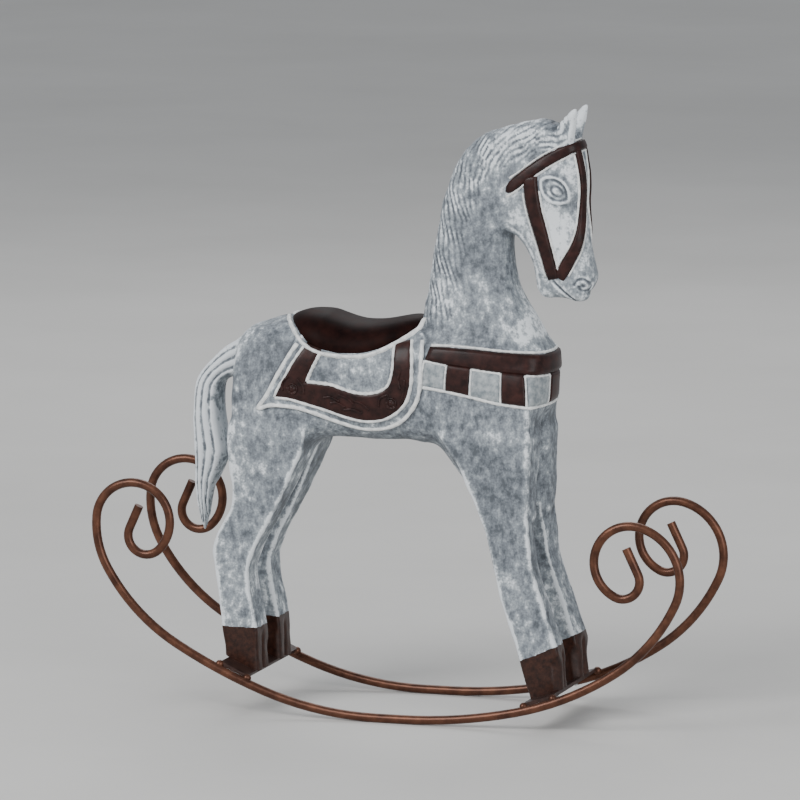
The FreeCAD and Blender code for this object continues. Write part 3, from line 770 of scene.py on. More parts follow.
def saw_off(item, plane_point, plane_normal):
    """Cut away what lies on the side the normal points to, and close the cut with a flat face."""
    mesh = item.data
    work = bmesh.new()
    work.from_mesh(mesh)
    point = np.array(plane_point, float)
    point[0] += SHIFT_X
    cut = bmesh.ops.bisect_plane(
        work,
        geom=work.verts[:] + work.edges[:] + work.faces[:],
        plane_co=(point * MM).tolist(),
        plane_no=plane_normal,
        clear_outer=True,
        dist=1e-7,
    )
    rim = [g for g in cut["geom_cut"] if isinstance(g, bmesh.types.BMEdge)]
    rim = [e for e in rim if e.is_boundary]
    caps = bmesh.ops.holes_fill(work, edges=rim, sides=0)["faces"]
    for face in caps:
        face.smooth = False
    for edge in rim:
        edge.smooth = False
    work.to_mesh(mesh)
    work.free()
    mesh.update()


print("each point of the ball stands proud by", round(float(sharpness(ball, squares).mean()), 3), "mm")

# %% [markdown]
# The horse is glued up from separate blocks, so it is skinned block by block.  Each block takes
# the whole field near it, so that its outside carries straight on into its neighbour, and is then
# sawn off at the glue joints.

# %% Glue joints, patches of whiter and darker paint, and a painted shadow
LEG_TOP = 118.0          # the legs are glued on at this height
TAIL_SEAT_X = -78.7      # the tail is glued on at this upright face
SEAT_BACK, SEAT_FRONT = np.array([4.0, 0.0, 176.0]), np.array([64.0, 0.0, 169.0])
seat_normal = np.cross(SEAT_FRONT - SEAT_BACK, [0.0, 1.0, 0.0])
seat_normal /= np.linalg.norm(seat_normal)


def plate_plane(node):
    """A point and the upward normal of a foot plate's top face, found from its own vertices."""
    co = np.array([v.co[:] for v in nodes[node].data.vertices]) / MM
    co[:, 0] -= SHIFT_X
    flat = co[:, [0, 2]] - co[:, [0, 2]].mean(0)
    _, _, axes = np.linalg.svd(flat, full_matrices=False)
    normal = axes[1] * np.sign(axes[1][1])
    top = co[:, [0, 2]] @ normal
    middle = co[:, [0, 2]].mean(0)
    middle = middle + normal * (top.max() - middle @ normal)
    return (middle[0], 0.0, middle[1]), (normal[0], 0.0, normal[1])


CHALKED_AND_SHADED = [
    # x, z, how far it spreads, how much whiter (below 0, how much darker)
    (68, 221, 6, 0.5), (68, 209, 5, 0.5), (70, 246, 7, 0.12), (52, 262, 10, 0.16), (76, 268, 5, 0.3),
    # (66, 266) is a painted shadow behind the ears; the other entries whiten or darken broad areas of the paint.
    (66, 266, 3.2, -0.5), (53, 217, 3, 0.2), (14, 190, 8, 0.10), (61, 178, 6, 0.4), (58, 190, 5, 0.3),
    (-80, 160, 7, 0.2), (-95, 125, 22, 0.22), (70, 45, 16, 0.10), (-72, 50, 18, 0.10),
    (-60, 70, 14, 0.06), (40, 150, 12, -0.04), (-68, 140, 16, -0.08), (50, 100, 18, -0.05),
    (34, 215, 14, -0.07), (-45, 120, 14, 0.05),
]


def chalk(verts):
    """How much whiter (above 0) or darker (below 0) the paint is at each vertex, with the painted shadow behind the
    ears.
    """
    total = np.zeros(len(verts))
    for x, z, spread, amount in CHALKED_AND_SHADED:
        total += amount * np.exp(-((verts[:, 0] - x) ** 2 + (verts[:, 2] - z) ** 2) / (2 * spread**2))
    return total


def hoof_line(verts, back, front):
    """Height above the sloping line where the hoof's paint ends, in mm; (x, z) at both ends."""
    t = (verts[:, 0] - back[0]) / (front[0] - back[0])
    return verts[:, 2] - (back[1] + t * (front[1] - back[1]))


for plate in ("rear_foot_plate", "front_foot_plate"):
    print("middle of the top of", plate, np.round(plate_plane(plate)[0], 1))

# %% The wooden pieces
BLOCK, FINE = 0.65, 0.5    # sizes of the small cubes
LEG_BLOCKS = [
    # name, field, from x, to x, foot plate, ends of the line of the hoof's paint as (x, z)
    ("hind_leg", "hind", -90, -36, "rear_foot_plate", (-81, 37.5), (-64, 37.0)),
    ("foreleg", "fore", 14, 82, "front_foot_plate", (57.5, 28.5), (76.0, 36.5)),
]


def wooden_block(name, low, high, step, near, cuts, **extra):
    """One block, skinned from the carved field and sawn at its cuts; extra makes more attributes."""
    verts, faces = skin(lambda x, y, z: joined(x, y, z, near) + carving(x, y, z), low, high, step)
    more = {label: make(verts) for label, make in extra.items()}
    worn = sharpness(verts, faces) / step
    item = make_object(name, verts, faces, worn=worn, chalk=chalk(verts), **more)
    for point, normal in cuts:
        saw_off(item, point, normal)
    print(name, "faces", len(item.data.polygons))
    return item


torso = wooden_block(
    "carved_body", (-81, -26, 114), (72, 26, 180), BLOCK, ("body", "hind", "fore", "head", "tail"),
    [((0, 0, LEG_TOP), (0, 0, -1)), (SEAT_BACK, seat_normal), ((TAIL_SEAT_X, 0, 0), (-1, 0, 0))],
)
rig.replaces(torso, "torso")
neck = wooden_block(
    "carved_neck_and_head", (2, -25, 160), (90, 25, 276), FINE, ("body", "head", "ear"),
    [(SEAT_BACK, -seat_normal)],
)
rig.replaces(neck, "neck_and_head")
tail = wooden_block(
    "carved_tail", (-104, -12, 74), (-76, 12, 168), FINE, ("body", "tail"),
    [((TAIL_SEAT_X, 0, 0), (1, 0, 0))],
)
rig.replaces(tail, "tail")
legs = []
for side, sign in (("right", -1), ("left", 1)):
    for pair, part, low_x, high_x, plate, back, front in LEG_BLOCKS:
        plane, up = plate_plane(plate)
        low_y, high_y = (-27, 2) if sign < 0 else (-2, 27)
        low, high = (low_x, low_y, 8), (high_x, high_y, 122)
        top, middle = ((0, 0, LEG_TOP), (0, 0, 1)), ((0, 0, 0), (0, -sign, 0))
        foot = (plane, (-up[0], 0, -up[2]))
        leg = wooden_block(
            "carved_%s_%s" % (side, pair), low, high, BLOCK, ("body", part), [top, middle, foot],
            hoof=lambda v, a=back, b=front: hoof_line(v, a, b),
        )
        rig.replaces(leg, "%s_%s" % (side, pair))
        legs.append(leg)

# %% [markdown]
# The tack stands proud of the wood and is lacquered.  It could be carved from the same blocks or
# be thin pieces laid on them, and it is made the second way.  Each strap is a strip on the
# carcass: every point of the strip is dropped along a straight line on to the surface, and then
# lifted along the surface's own normal by the strap's thickness, so it hugs the wood everywhere.

# %% Landing on the wood
ALL_NEAR = ("body", "hind", "fore", "head", "cloth")
FLANK = ("body", "cloth")
BACK_AND_NECK = ("body", "head", "cloth")


def bare(p, near=ALL_NEAR):
    """The field without its carving, at an array of points; near lists the blocks to count in."""
    x, y, z = p[..., 0], p[..., 1], p[..., 2]
    field = joined(x, y, z, [name for name in near if name != "cloth"])
    return field + cloth_step(x, y, z) if "cloth" in near else field


def land(start, end, near=ALL_NEAR):
    """Where the line from start, outside, to end, inside, meets the wood: halve the gap 18 times."""
    low, high = np.zeros(start.shape[:-1]), np.ones(start.shape[:-1])
    for _ in range(18):
        middle = (low + high) / 2
        outside = bare(start + (end - start) * middle[..., None], near) > 0
        low, high = np.where(outside, middle, low), np.where(outside, high, middle)
    return start + (end - start) * ((low + high) / 2)[..., None]


def normals(p, near=ALL_NEAR, gap=0.6):
    """The direction in which the field rises fastest, from its change over a small gap."""
    slope = np.stack([bare(p + step, near) - bare(p - step, near) for step in gap * np.eye(3)], -1)
    return slope / (np.linalg.norm(slope, axis=-1, keepdims=True) + 1e-9)


spot = land(np.array([[-20.0, -60.0, 150.0]]), np.array([[-20.0, 0.0, 150.0]]))
print("the flank is met at", np.round(spot[0], 2), "and faces", np.round(normals(spot)[0], 2))

# %% A closed strip


def slab(name, base, normal, lift, sink=0.7, closed=False):
    """A closed skin round two grids: base raised by lift, base sunk into the wood, and the wall
    that joins their rims.  With closed, the first and last rows of the grid meet."""
    rows, columns = base.shape[:2]
    lift = np.broadcast_to(lift, (rows, columns))
    top = base + normal * lift[..., None]
    bottom = base - normal * sink
    index = np.arange(rows * columns).reshape(rows, columns)
    if closed:
        index = np.vstack([index, index[:1]])
    under = index + rows * columns
    a, b, c, d = index[:-1, :-1], index[1:, :-1], index[1:, 1:], index[:-1, 1:]
    faces = [np.stack([a, b, c, d], -1).reshape(-1, 4)]
    faces.append(np.stack([d, c, b, a], -1).reshape(-1, 4) + rows * columns)
    rims = [(index[:, -1], under[:, -1])]
    if not closed:
        rims += [(index[0, :], under[0, :]), (index[-1, ::-1], under[-1, ::-1])]
    if not closed or np.ptp(base[:, 0], axis=0).max() > 0.01:
        rims.append((index[::-1, 0], under[::-1, 0]))
    for upper, lower in rims:
        faces.append(np.stack([upper[:-1], upper[1:], lower[1:], lower[:-1]], -1))
    verts = np.concatenate([top.reshape(-1, 3), bottom.reshape(-1, 3)])
    item = make_object(name, verts, np.concatenate(faces))
    work = bmesh.new()
    work.from_mesh(item.data)
    bmesh.ops.remove_doubles(work, verts=work.verts[:], dist=0.02 * MM)
    bmesh.ops.recalc_face_normals(work, faces=work.faces[:])
    work.to_mesh(item.data)
    work.free()
    return item


def crown_profile(v, power=6.0):
    """Height across a strip, 1 in the middle and falling round at v = -1 and 1."""
    return (1 - np.abs(v) ** power).clip(0) ** 0.5


def raised(height, rows, columns, along=30.0, across=6.0):
    """Heights over a grid that fall round at its two ends and at its two long edges."""
    u, v = np.linspace(-1, 1, rows), np.linspace(-1, 1, columns)
    return height * crown_profile(u, along)[:, None] * crown_profile(v, across)[None, :]


print("height in the middle, half way out, at the edge:", crown_profile(np.array([0, 0.5, 1])).round(2))

# %% [markdown]
# Every strap is outlined with a thick line of white paint from a fine brush.  It could be a colour
# on the strap's own material, but its edge would then be only as fine as the mesh, and flat.  So
# each line is a half-round bead that lands on the wood as the straps do.

# %% Straps and painted lines
FLANK_Y, CHEEK_Y, FACE_Y = 22.0, 11.0, 6.0    # how far from the middle plane the side views are met
FACE_TURN = 38.0         # degrees by which the side of the face is turned forward


def even(points, count):
    """The curve through the points again, at even steps along its length."""
    curve = through(points, 12)
    along = np.concatenate([[0], np.cumsum(np.linalg.norm(np.diff(curve, axis=0), axis=1))])
    at = np.linspace(0, along[-1], count)
    return np.stack([np.interp(at, along, curve[:, k]) for k in range(curve.shape[1])], 1)


def side_rays(xz, y, turn=0.0, side=-1):
    """Lines that meet the side view's points at depth y, turned about the vertical by turn."""
    angle = math.radians(turn)
    inward = np.array([-math.sin(angle), -side * math.cos(angle), 0.0])
    point = np.stack([xz[..., 0], np.full(xz.shape[:-1], side * y), xz[..., 1]], -1)
    return point - inward * 34.0, point + inward * (y + 1.0)


def side_strip(name, first, second, y, turn=0.0, side=-1, thick=1.3, across=9, near=ALL_NEAR):
    """A strip between two curves of the side view, given as arrays with the same count."""
    v = np.linspace(-1, 1, across)
    xz = first[:, None] * (1 - v[None, :, None]) / 2 + second[:, None] * (1 + v[None, :, None]) / 2
    base = land(*side_rays(xz, y, turn, side), near)
    return slab(name, base, normals(base, near), raised(thick, len(first), across, 24.0))


def ribbon(line, widths, count=60):
    """The two edges of a strap of varying width about a centre line in the side view."""
    both = even(np.column_stack([line, widths]), count)
    slope = np.gradient(both[:, :2], axis=0)
    slope /= np.linalg.norm(slope, axis=1, keepdims=True)
    square = np.stack([-slope[:, 1], slope[:, 0]], 1)
    half = both[:, 2:] / 2
    return both[:, :2] + square * half, both[:, :2] - square * half


def bead(name, path, width=1.25, height=0.45, near=ALL_NEAR):
    """A half-round line of paint along a path that already lies on the wood."""
    normal = normals(path, near)
    along = np.gradient(path, axis=0)
    square = np.cross(normal, along)
    square /= np.linalg.norm(square, axis=1, keepdims=True)
    v = np.linspace(-1, 1, 5)
    step = np.arange(len(path))
    wander = 1 + 0.12 * np.sin(step * 0.9) + 0.1 * np.sin(step * 0.37)
    base = path[:, None] + square[:, None] * (v[None, :, None] * width / 2 * wander[:, None, None])
    lift = raised(height, len(path), 5, across=2.5)
    return slab(name, base, np.repeat(normal[:, None], 5, 1), lift, sink=0.5)


def side_bead(name, xz, y, turn=0.0, side=-1, count=90, near=ALL_NEAR, **size):
    """A painted line along a curve of the side view."""
    path = land(*side_rays(even(xz, count), y, turn, side), near)
    return bead(name, path, near=near, **size)


def together(name, items):
    """Several pieces as one object."""
    target = items[0]
    work = bmesh.new()
    for item in items:
        work.from_mesh(item.data)
    work.to_mesh(target.data)
    work.free()
    for item in items[1:]:
        old = item.data
        bpy.data.objects.remove(item)
        bpy.data.meshes.remove(old)
    target.name = target.data.name = name
    return target


def both_sides(make):
    """The same thing on the right (-1) and on the left (+1)."""
    return [make(side) for side in (-1, 1)]


white_lines = []
first, second = ribbon([(0, 0), (5, 0), (10, 0)], [4.0, 4.0, 4.0], 20)
print("a 4 mm strap's edges are", round(float(np.linalg.norm(first[9] - second[9])), 2), "mm apart")

# %% [markdown]
# The saddle is a thick bean of wood with a raised back edge and a tongue that runs forward beside
# the mane.  It is drawn as a closed outline on the back, in the distance along the horse and the
# angle round it, and swollen from the rim to the middle.

# %% Saddle
SADDLE_RIM = [
    # x, degrees round from the top
    (-54.0, 0), (-52.8, 13), (-50.4, 26), (-47.2, 37), (-43.4, 48), (-39, 55), (-33, 59),
    (-24, 60.5), (-16, 59), (-10, 55), (-3, 46.5), (2, 38.5), (6, 30), (8.6, 22.5), (10.2, 16),
    (11.2, 10), (11.6, 4),
]
SADDLE_SWELL = [
    (-54, 3.0), (-50, 4.2), (-46, 5.2), (-42, 5.9), (-37.4, 6.2), (-32.7, 5.4), (-28, 4.7), (-23, 4.3),
    (-18, 4.4), (-9, 4.8), (0, 5.6), (5, 6.2), (9, 6.4), (12, 6.4),
]
AXIS_Z = 150.0
PER_DEGREE = 0.42        # mm that stand for a degree while the outline is drawn flat


def on_back(x, degrees, near=("body",)):
    """The point of the back at x, so many degrees round from the top; minus is the right side."""
    angle = np.radians(degrees)
    out = np.stack([np.zeros_like(angle), np.sin(angle), np.cos(angle)], -1)
    middle = np.stack([x, np.zeros_like(x), np.full_like(x, AXIS_Z)], -1)
    return land(middle + out * 60.0, middle, near)


print("top of the back:", np.round(on_back(np.array([-20.0]), np.array([0.0]))[0], 1))

# %% The saddle and its white edge
half_rim = np.array(SADDLE_RIM, float)
rim = np.vstack([half_rim, half_rim[::-1][:-1] * [1, -1]])
rim[:, 1] *= PER_DEGREE
rim = through(rim, 4, closed=True)
rim_angle = np.arctan2(rim[:, 1], rim[:, 0] + 20.0)
order = np.argsort(rim_angle)
rim = rim[order]
rings = np.linspace(0, 1, 30) ** 0.7
centre = np.array([-20.0, 0.0])
patch = centre + (rim[:, None] - centre) * rings[None, :, None]
base = on_back(patch[..., 0], patch[..., 1] / PER_DEGREE)
(swell,) = eased(SADDLE_SWELL, patch[..., 0])
swell = swell * (1 - 0.35 * (np.abs(patch[..., 1] / PER_DEGREE) / 62.0) ** 2)
dome = (1 - rings[None, :] ** 5).clip(0) ** 0.6
saddle = slab("saddle_seat", base, normals(base, ("body",)), swell * dome, closed=True)
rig.replaces(saddle, "saddle")
rim_line = centre + (rim - centre) * 1.05
rim_path = on_back(rim_line[:, 0], rim_line[:, 1] / PER_DEGREE, BACK_AND_NECK)
under = rim_path[:, 2] < 180.0
for side in (-1, 1):
    one = rim_path[(rim_path[:, 1] * side > 2.0) & under]
    one = one[np.argsort(one[:, 0])]
    path = even(one[::3], 120)
    white_lines.append(bead("saddle_line", path, width=2.0, height=1.5, near=BACK_AND_NECK))
print("saddle faces", len(saddle.data.polygons))

# %% [markdown]
# The saddle cloth is left standing on the body, edged by two white lines with a grey channel
# between them.  Inside them runs the broad brown band, with a flower at each lower corner and a
# sprig of leaves between.

# %% Saddle cloth
CLOTH_LINE = [(-45.8, 165.8)] + CLOTH_EDGE[1:-2] + [(11.5, 169.5)]
BAND_OUT_REAR = [
    (-41.4, 166.5), (-42.3, 164.8), (-45.6, 159.8), (-48.4, 155.2), (-51.2, 149.7), (-54.0, 145.1),
    (-55.5, 141.6),
]
BAND_OUT_LOW = [
    (-55.5, 141.6), (-48.9, 141.2), (-42.8, 139.7), (-36.3, 138.0), (-30.3, 136.3), (-23.3, 134.1),
    (-16.3, 132.6), (-10.7, 132.5), (-4.7, 133.8), (0.8, 137.0), (5.0, 141.4), (6.9, 146.4),
    (7.8, 151.8), (7.8, 158.5), (7.3, 164.3), (6.4, 169.4),
]
BAND_IN_REAR = [(-34.2, 164.0), (-34.9, 162.0), (-36.8, 157.9), (-39.1, 152.9), (-40.6, 149.2)]
BAND_IN_LOW = [
    (-40.6, 149.2), (-34.9, 148.8), (-28.9, 148.2), (-23.3, 146.4), (-17.7, 145.1), (-13.1, 144.9),
    (-8.0, 145.8), (-3.8, 148.2), (-1.9, 151.8), (-1.0, 156.8), (-1.0, 161.2), (-1.2, 167.4),
]


CLOTH_LINES = [
    # line, points along it, width, height
    (CLOTH_LINE, 200, 1.8, 0.8),
    (BAND_OUT_REAR[1:], 50, 1.6, 1.05),
    (BAND_OUT_LOW, 150, 1.6, 1.05),
    (BAND_IN_REAR[1:], 50, 1.6, 1.05),
    (BAND_IN_LOW, 150, 1.6, 1.05),
]


def cloth_band(side):
    """The brown band of one side, with the white lines of the band and of the cloth's edge."""
    outer = np.vstack([even(BAND_OUT_REAR, 30)[:-1], even(BAND_OUT_LOW, 90)])
    inner = np.vstack([even(BAND_IN_REAR, 30)[:-1], even(BAND_IN_LOW, 90)])
    label = "right" if side < 0 else "left"
    name = "%s_cloth_trim" % label
    band = side_strip(name, outer, inner, FLANK_Y, side=side, thick=0.9, across=15, near=FLANK)
    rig.replaces(band, "%s_cloth_band" % label)
    for line, count, width, height in CLOTH_LINES:
        size = {"width": width, "height": height}
        one = side_bead("cloth_line", line, FLANK_Y, 0.0, side, count, BACK_AND_NECK, **size)
        white_lines.append(one)
    return band


cloth_bands = both_sides(cloth_band)
print("faces of the bands", [len(band.data.polygons) for band in cloth_bands])

# %% Flowers and sprigs
FLOWER_RADIUS = 2.9
FLOWERS = [(-47.0, 145.9), (-1.4, 141.2)]
STROKES = [
    [(-33, 142.6), (-29, 142.9), (-25, 141.0)],
    [(-30, 140.2), (-26.5, 140.6), (-22.5, 138.6)],
    [(-26, 144.2), (-21.5, 142.6), (-18.5, 139.8)],
    [(-24, 137.6), (-19, 137.8), (-14.8, 136.2)],
    [(-19, 141.8), (-14.6, 140.4), (-11.6, 137.6)],
    [(-51.5, 144.5), (-51.4, 148.6), (-48.6, 151.6)],
    [(-41.5, 143.6), (-42.2, 147.4), (-45.0, 150.6)],
    [(-7.4, 139.2), (-6.4, 143.2), (-2.4, 145.2)],
    [(3.0, 147.2), (2.0, 151.8), (2.8, 156.0)],
    [(3.4, 142.8), (4.6, 147.4), (4.9, 152.4)],
]


def flower(x, z, radius, side):
    """A button with a ring round it: height against radius is two rounded steps."""
    r = np.linspace(0, 1, 14)
    turn = np.linspace(0, 2 * np.pi, 40, endpoint=False)
    around = np.stack([np.cos(turn), np.sin(turn)], -1)[:, None]
    xz = np.array([x, z]) + radius * around * r[:, None]
    base = land(*side_rays(xz, FLANK_Y, 0.0, side), FLANK)
    height = 0.95 + 0.75 * bump_at(r, 0.42, 4) + 0.55 * bump_at(r - 0.8, 0.14)
    petals = 1 + 0.10 * np.cos(6 * turn)[:, None] * (r > 0.5)
    return slab("flower", base, normals(base, FLANK), height * petals * (r < 0.99), closed=True)


def strokes(side):
    """Short carved strokes: the sprig's leaves, and arcs round the flowers."""
    size = {"count": 24, "near": FLANK, "width": 1.5, "height": 1.55}
    return [side_bead("stroke", line, FLANK_Y, side=side, **size) for line in STROKES]


flowers = [flower(x, z, FLOWER_RADIUS, side) for side in (-1, 1) for x, z in FLOWERS]
flowers = together("cloth_flowers", flowers)
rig.replaces(flowers, "cloth_rosettes")
sprigs = together("cloth_sprigs", strokes(-1) + strokes(1))
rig.replaces(sprigs, "leaf_ornaments")
print("faces of the flowers", len(flowers.data.polygons), "and sprigs", len(sprigs.data.polygons))

# %% [markdown]
# The breast collar goes right round the front of the horse, and a row of square tabs hangs from it.
# Here the strip is dropped towards an upright line inside the chest.  Its height is given against
# the distance along the horse, so each point is found twice: once to learn how far forward the
# wood is at that angle, and again at the right height.

# %% Breast collar and its tabs
COLLAR_HEIGHTS = [
    # x, bottom of the tabs, bottom of the collar, top of the collar
    (12.4, 149.4, 161.0, 166.7),
    (23, 148.0, 159.3, 166.9),
    (35, 146.0, 158.0, 166.4),
    (48.5, 143.4, 156.5, 165.4),
    (58, 142.4, 156.0, 164.9),
    (63, 142.0, 155.6, 164.6),
    (67.4, 141.8, 155.0, 164.3),
]
TAB_FOOT, COLLAR_FOOT, COLLAR_TOP = 0, 1, 2    # columns of heights after x
CHEST_NEAR = ("body", "fore", "head", "cloth")
COLLAR_AXIS = 44.0
COLLAR_Z = 156.0


def wrapped(axis_x, degrees, share, heights, low, high, near, guess, reach=45.0):
    """Points at the given angles round an upright axis, at a share of the way between two of the
    height columns."""
    angle = np.radians(degrees)
    out = np.stack([np.cos(angle), np.sin(angle), np.zeros_like(angle)], -1)
    height = np.full_like(angle, guess)
    for _ in range(3):
        middle = np.stack([np.full_like(angle, axis_x), np.zeros_like(angle), height], -1)
        point = land(middle + out * reach, middle, near)
        columns = eased(heights, point[..., 0])
        height = columns[low] + (columns[high] - columns[low]) * share
    return point


def on_chest(degrees, share, low, high, guess=COLLAR_Z):
    """Points round the chest, at a share of the way between two columns of the collar's heights."""
    return wrapped(COLLAR_AXIS, degrees, share, COLLAR_HEIGHTS, low, high, CHEST_NEAR, guess)


def chest_strip(name, from_degrees, to_degrees, low, high, thick, count=120, across=9, rise=0):
    """A strip round the chest between two height columns; with rise it runs up under the collar."""
    round_by, up_to = np.linspace(from_degrees, to_degrees, count), 1.0 + 0.06 * rise
    degrees, share = np.meshgrid(round_by, np.linspace(0.0, up_to, across), indexing="ij")
    base = on_chest(degrees, share, low, high)
    return slab(name, base, normals(base, CHEST_NEAR), raised(thick, count, across, across=8.0))


def angle_at(x):
    """The angle round the collar's axis at which the side of the chest is x mm along."""
    return math.degrees(math.atan2(22.7, x - COLLAR_AXIS))


print("the collar's side at x = 44 is", round(angle_at(44.0)), "degrees round")

# %% The collar and its tabs
END = angle_at(12.4)
MIDDLE_TAB = 17.0        # the front tab ends this many degrees from the middle
TAB_EDGES = [12.4, 23.5, 35.0, 48.8, 60.9]
GREY_THICK, BROWN_THICK = 0.5, 1.0
collar = chest_strip("breast_band", -END, END, COLLAR_FOOT, COLLAR_TOP, 1.3, count=220)
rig.replaces(collar, "breast_collar")
brown_tabs, grey_tabs = [], []


def tab(from_degrees, to_degrees, brown):
    """A brown tab runs up under the collar; a grey one is thinner and ends at its edge."""
    thick = BROWN_THICK if brown else GREY_THICK
    one = chest_strip("tab", from_degrees, to_degrees, TAB_FOOT, COLLAR_FOOT, thick, 24, 14, int(brown))
    (brown_tabs if brown else grey_tabs).append(one)


for side in (-1, 1):
    for k in range(4):
        a, b = angle_at(TAB_EDGES[k] + 0.5), angle_at(TAB_EDGES[k + 1] - 0.5)
        tab(side * a, side * b, brown=k % 2 == 1)
    tab(side * angle_at(TAB_EDGES[4] + 1.0), side * (MIDDLE_TAB + 0.5), brown=False)
tab(-MIDDLE_TAB + 1.0, MIDDLE_TAB - 1.0, brown=True)
brown_tabs = together("brown_tabs", brown_tabs)
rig.replaces(brown_tabs, "collar_tabs")
grey_tabs = together("grey_tabs", grey_tabs)


print("tabs' faces", len(brown_tabs.data.polygons), len(grey_tabs.data.polygons))

# %% White lines of the collar


def chest_line(degrees, column, shift, width=1.2, height=0.6):
    """A painted line along a column of heights, moved up by shift."""
    points = on_chest(degrees, np.zeros_like(degrees), column, column)
    outside = points + [0, 0, shift] + (points - [COLLAR_AXIS, 0, 0]) * [0.4, 0.4, 0]
    points = land(outside, points * [0, 0, 1] + [COLLAR_AXIS, 0, shift], CHEST_NEAR)
    white_lines.append(bead("chest_line", points, width, height, CHEST_NEAR))


def upright_line(degrees):
    """A painted line down the edge between two tabs."""
    points = on_chest(np.full(24, degrees), np.linspace(0, 1, 24), TAB_FOOT, COLLAR_FOOT, 150.0)
    white_lines.append(bead("tab_line", points, 1.0, 0.6, CHEST_NEAR))


round_chest = np.linspace(-END, END, 260)
chest_line(round_chest, COLLAR_TOP, 0.7)
for side in (-1, 1):
    spans = [(angle_at(a), angle_at(b)) for a, b in ((12.4, 23.5), (35.0, 48.8))]
    spans.append((angle_at(61.0), MIDDLE_TAB))
    for a, b in spans:
        chest_line(np.linspace(side * a, side * b, 40), COLLAR_FOOT, -0.3, height=0.8)
chest_line(round_chest, TAB_FOOT, -0.5, width=1.4)
for side in (-1, 1):
    for degrees in [angle_at(x) for x in TAB_EDGES] + [MIDDLE_TAB]:
        upright_line(side * degrees)
print("white lines so far", len(white_lines))

# %% [markdown]
# The bridle is three straps on each side: one slanting from behind the cheek up over the brow, one
# down the cheek, and one down the side of the face that swings back to meet it above the mouth.

# %% Brow strap
HEAD_NEAR = ("head",)
BROW_HEIGHTS = [
    # x, lower edge, upper edge
    (47.0, 233.6, 239.8),
    (52, 236.6, 243.0),
    (58, 241.4, 247.6),
    (65, 246.4, 252.4),
    (73, 251.2, 256.6),
    (79, 254.2, 258.8),
    (81.5, 254.8, 259.2),
]
BROW_AXIS, BROW_Z = 62.0, 246.0


def on_brow(degrees, share):
    """Points round the head, at a share of the way up the brow strap."""
    return wrapped(BROW_AXIS, degrees, share, BROW_HEIGHTS, 0, 1, HEAD_NEAR, BROW_Z)


degrees, share = np.meshgrid(np.linspace(-144, 144, 150), np.linspace(0, 1, 9), indexing="ij")
end_taper = (1 - ((np.abs(degrees) - 134.0) / 10.5).clip(0) ** 2.2) ** 0.5
share = 0.5 + (share - 0.5) * end_taper
base = on_brow(degrees, share)
brow = slab("brow_strap", base, normals(base, HEAD_NEAR), raised(1.4, 150, 9))
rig.replaces(brow, "crown_strap")
round_brow = np.linspace(-142, 142, 200)
for share in (1.10, -0.10):
    white_lines.append(bead("brow_line", on_brow(round_brow, share), 1.0, 0.7, HEAD_NEAR))
print("brow strap faces", len(brow.data.polygons))

# %% Cheek and face straps
CHEEK_LINE = [
    (58.6, 243.4), (59.3, 236.4), (60.9, 227.8), (63.4, 218.2), (65.8, 209.0), (67.9, 200.4),
    (68.6, 197.2),
]
CHEEK_WIDTHS = [6.6, 6.6, 6.4, 6.0, 5.6, 5.4, 5.4]
FACE_LINE = [
    (78.6, 256.0), (80.2, 250.0), (81.6, 243.0), (82.1, 235.0), (81.6, 226.5), (80.1, 218.4),
    (77.4, 211.4), (73.2, 204.2), (69.4, 197.6),
]
FACE_WIDTHS = [4.0, 4.3, 4.6, 4.8, 5.0, 5.4, 5.8, 6.0, 5.6]


BRIDLE = [
    # strap, line, widths, points along it, depth, turn, part of the edge that is painted, paint's width
    ("cheek", CHEEK_LINE, CHEEK_WIDTHS, 60, CHEEK_Y, 0.0, slice(9, None, 6), 1.0),
    ("face", FACE_LINE, FACE_WIDTHS, 80, FACE_Y, FACE_TURN, slice(3, -2, 6), 0.9),
]


def bridle_side(side):
    """Both straps of one side, each with a white line along both edges."""
    label = "right" if side < 0 else "left"
    straps = []
    for kind, line, widths, count, depth, turn, painted, width in BRIDLE:
        first, second = ribbon(line, widths, count)
        name = "%s_%s_piece" % (label, kind)
        strap = side_strip(name, first, second, depth, turn=turn, side=side, near=HEAD_NEAR)
        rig.replaces(strap, "%s_%s_strap" % (label, kind))
        straps.append(strap)
        size = {"near": HEAD_NEAR, "width": width, "height": 0.7}
        for edge in ribbon(line, [w + 1.0 for w in widths], count):
            white_lines.append(side_bead("strap_line", edge[painted], depth, turn, side, **size))
    return straps


bridle = both_sides(bridle_side)
white_lines = together("white_lines", white_lines)
print("white lines faces", len(white_lines.data.polygons))

# %% [markdown]
# The finishes.  The grey is several coats rubbed back: a slate coat, a blue-grey one and a nearly
# white one on top, which is left thick on the ridges and thin in the hollows.  One node group
# mixes them for every painted piece, from two sizes of mottle and from how proud the wood stands.

# %% Node helpers


def new_material(name):
    """A material with its node tree and its Principled shader."""
    material = bpy.data.materials.new(name)
    material.use_nodes = True
    tree = material.node_tree
    return material, tree, tree.nodes["Principled BSDF"]


def add(tree, kind, **settings):
    """A node; settings name its properties, or its inputs by name with _ for a space."""
    node = tree.nodes.new(kind)
    for key, value in settings.items():
        if hasattr(node, key):
            setattr(node, key, value)
        else:
            node.inputs[key.replace("_", " ")].default_value = value
    return node


def calc(tree, operation, a, b=None, c=None, clamp=False):
    """A Math node on two or three numbers or sockets; returns its output."""
    node = tree.nodes.new("ShaderNodeMath")
    node.operation = operation
    node.use_clamp = clamp
    for i, value in enumerate((a, b, c)):
        if isinstance(value, (int, float)):
            node.inputs[i].default_value = value
        elif value is not None:
            tree.links.new(value, node.inputs[i])
    return node.outputs[0]


def stops(tree, factor, colours):
    """A colour ramp fed by factor; colours is a list of (position, (r, g, b))."""
    node = tree.nodes.new("ShaderNodeValToRGB")
    ramp_stops = node.color_ramp.elements
    while len(ramp_stops) < len(colours):
        ramp_stops.new(0.5)
    for stop, (place, colour) in zip(ramp_stops, colours):
        stop.position = place
        stop.color = (*colour, 1.0)
    tree.links.new(factor, node.inputs[0])
    return node.outputs[0]


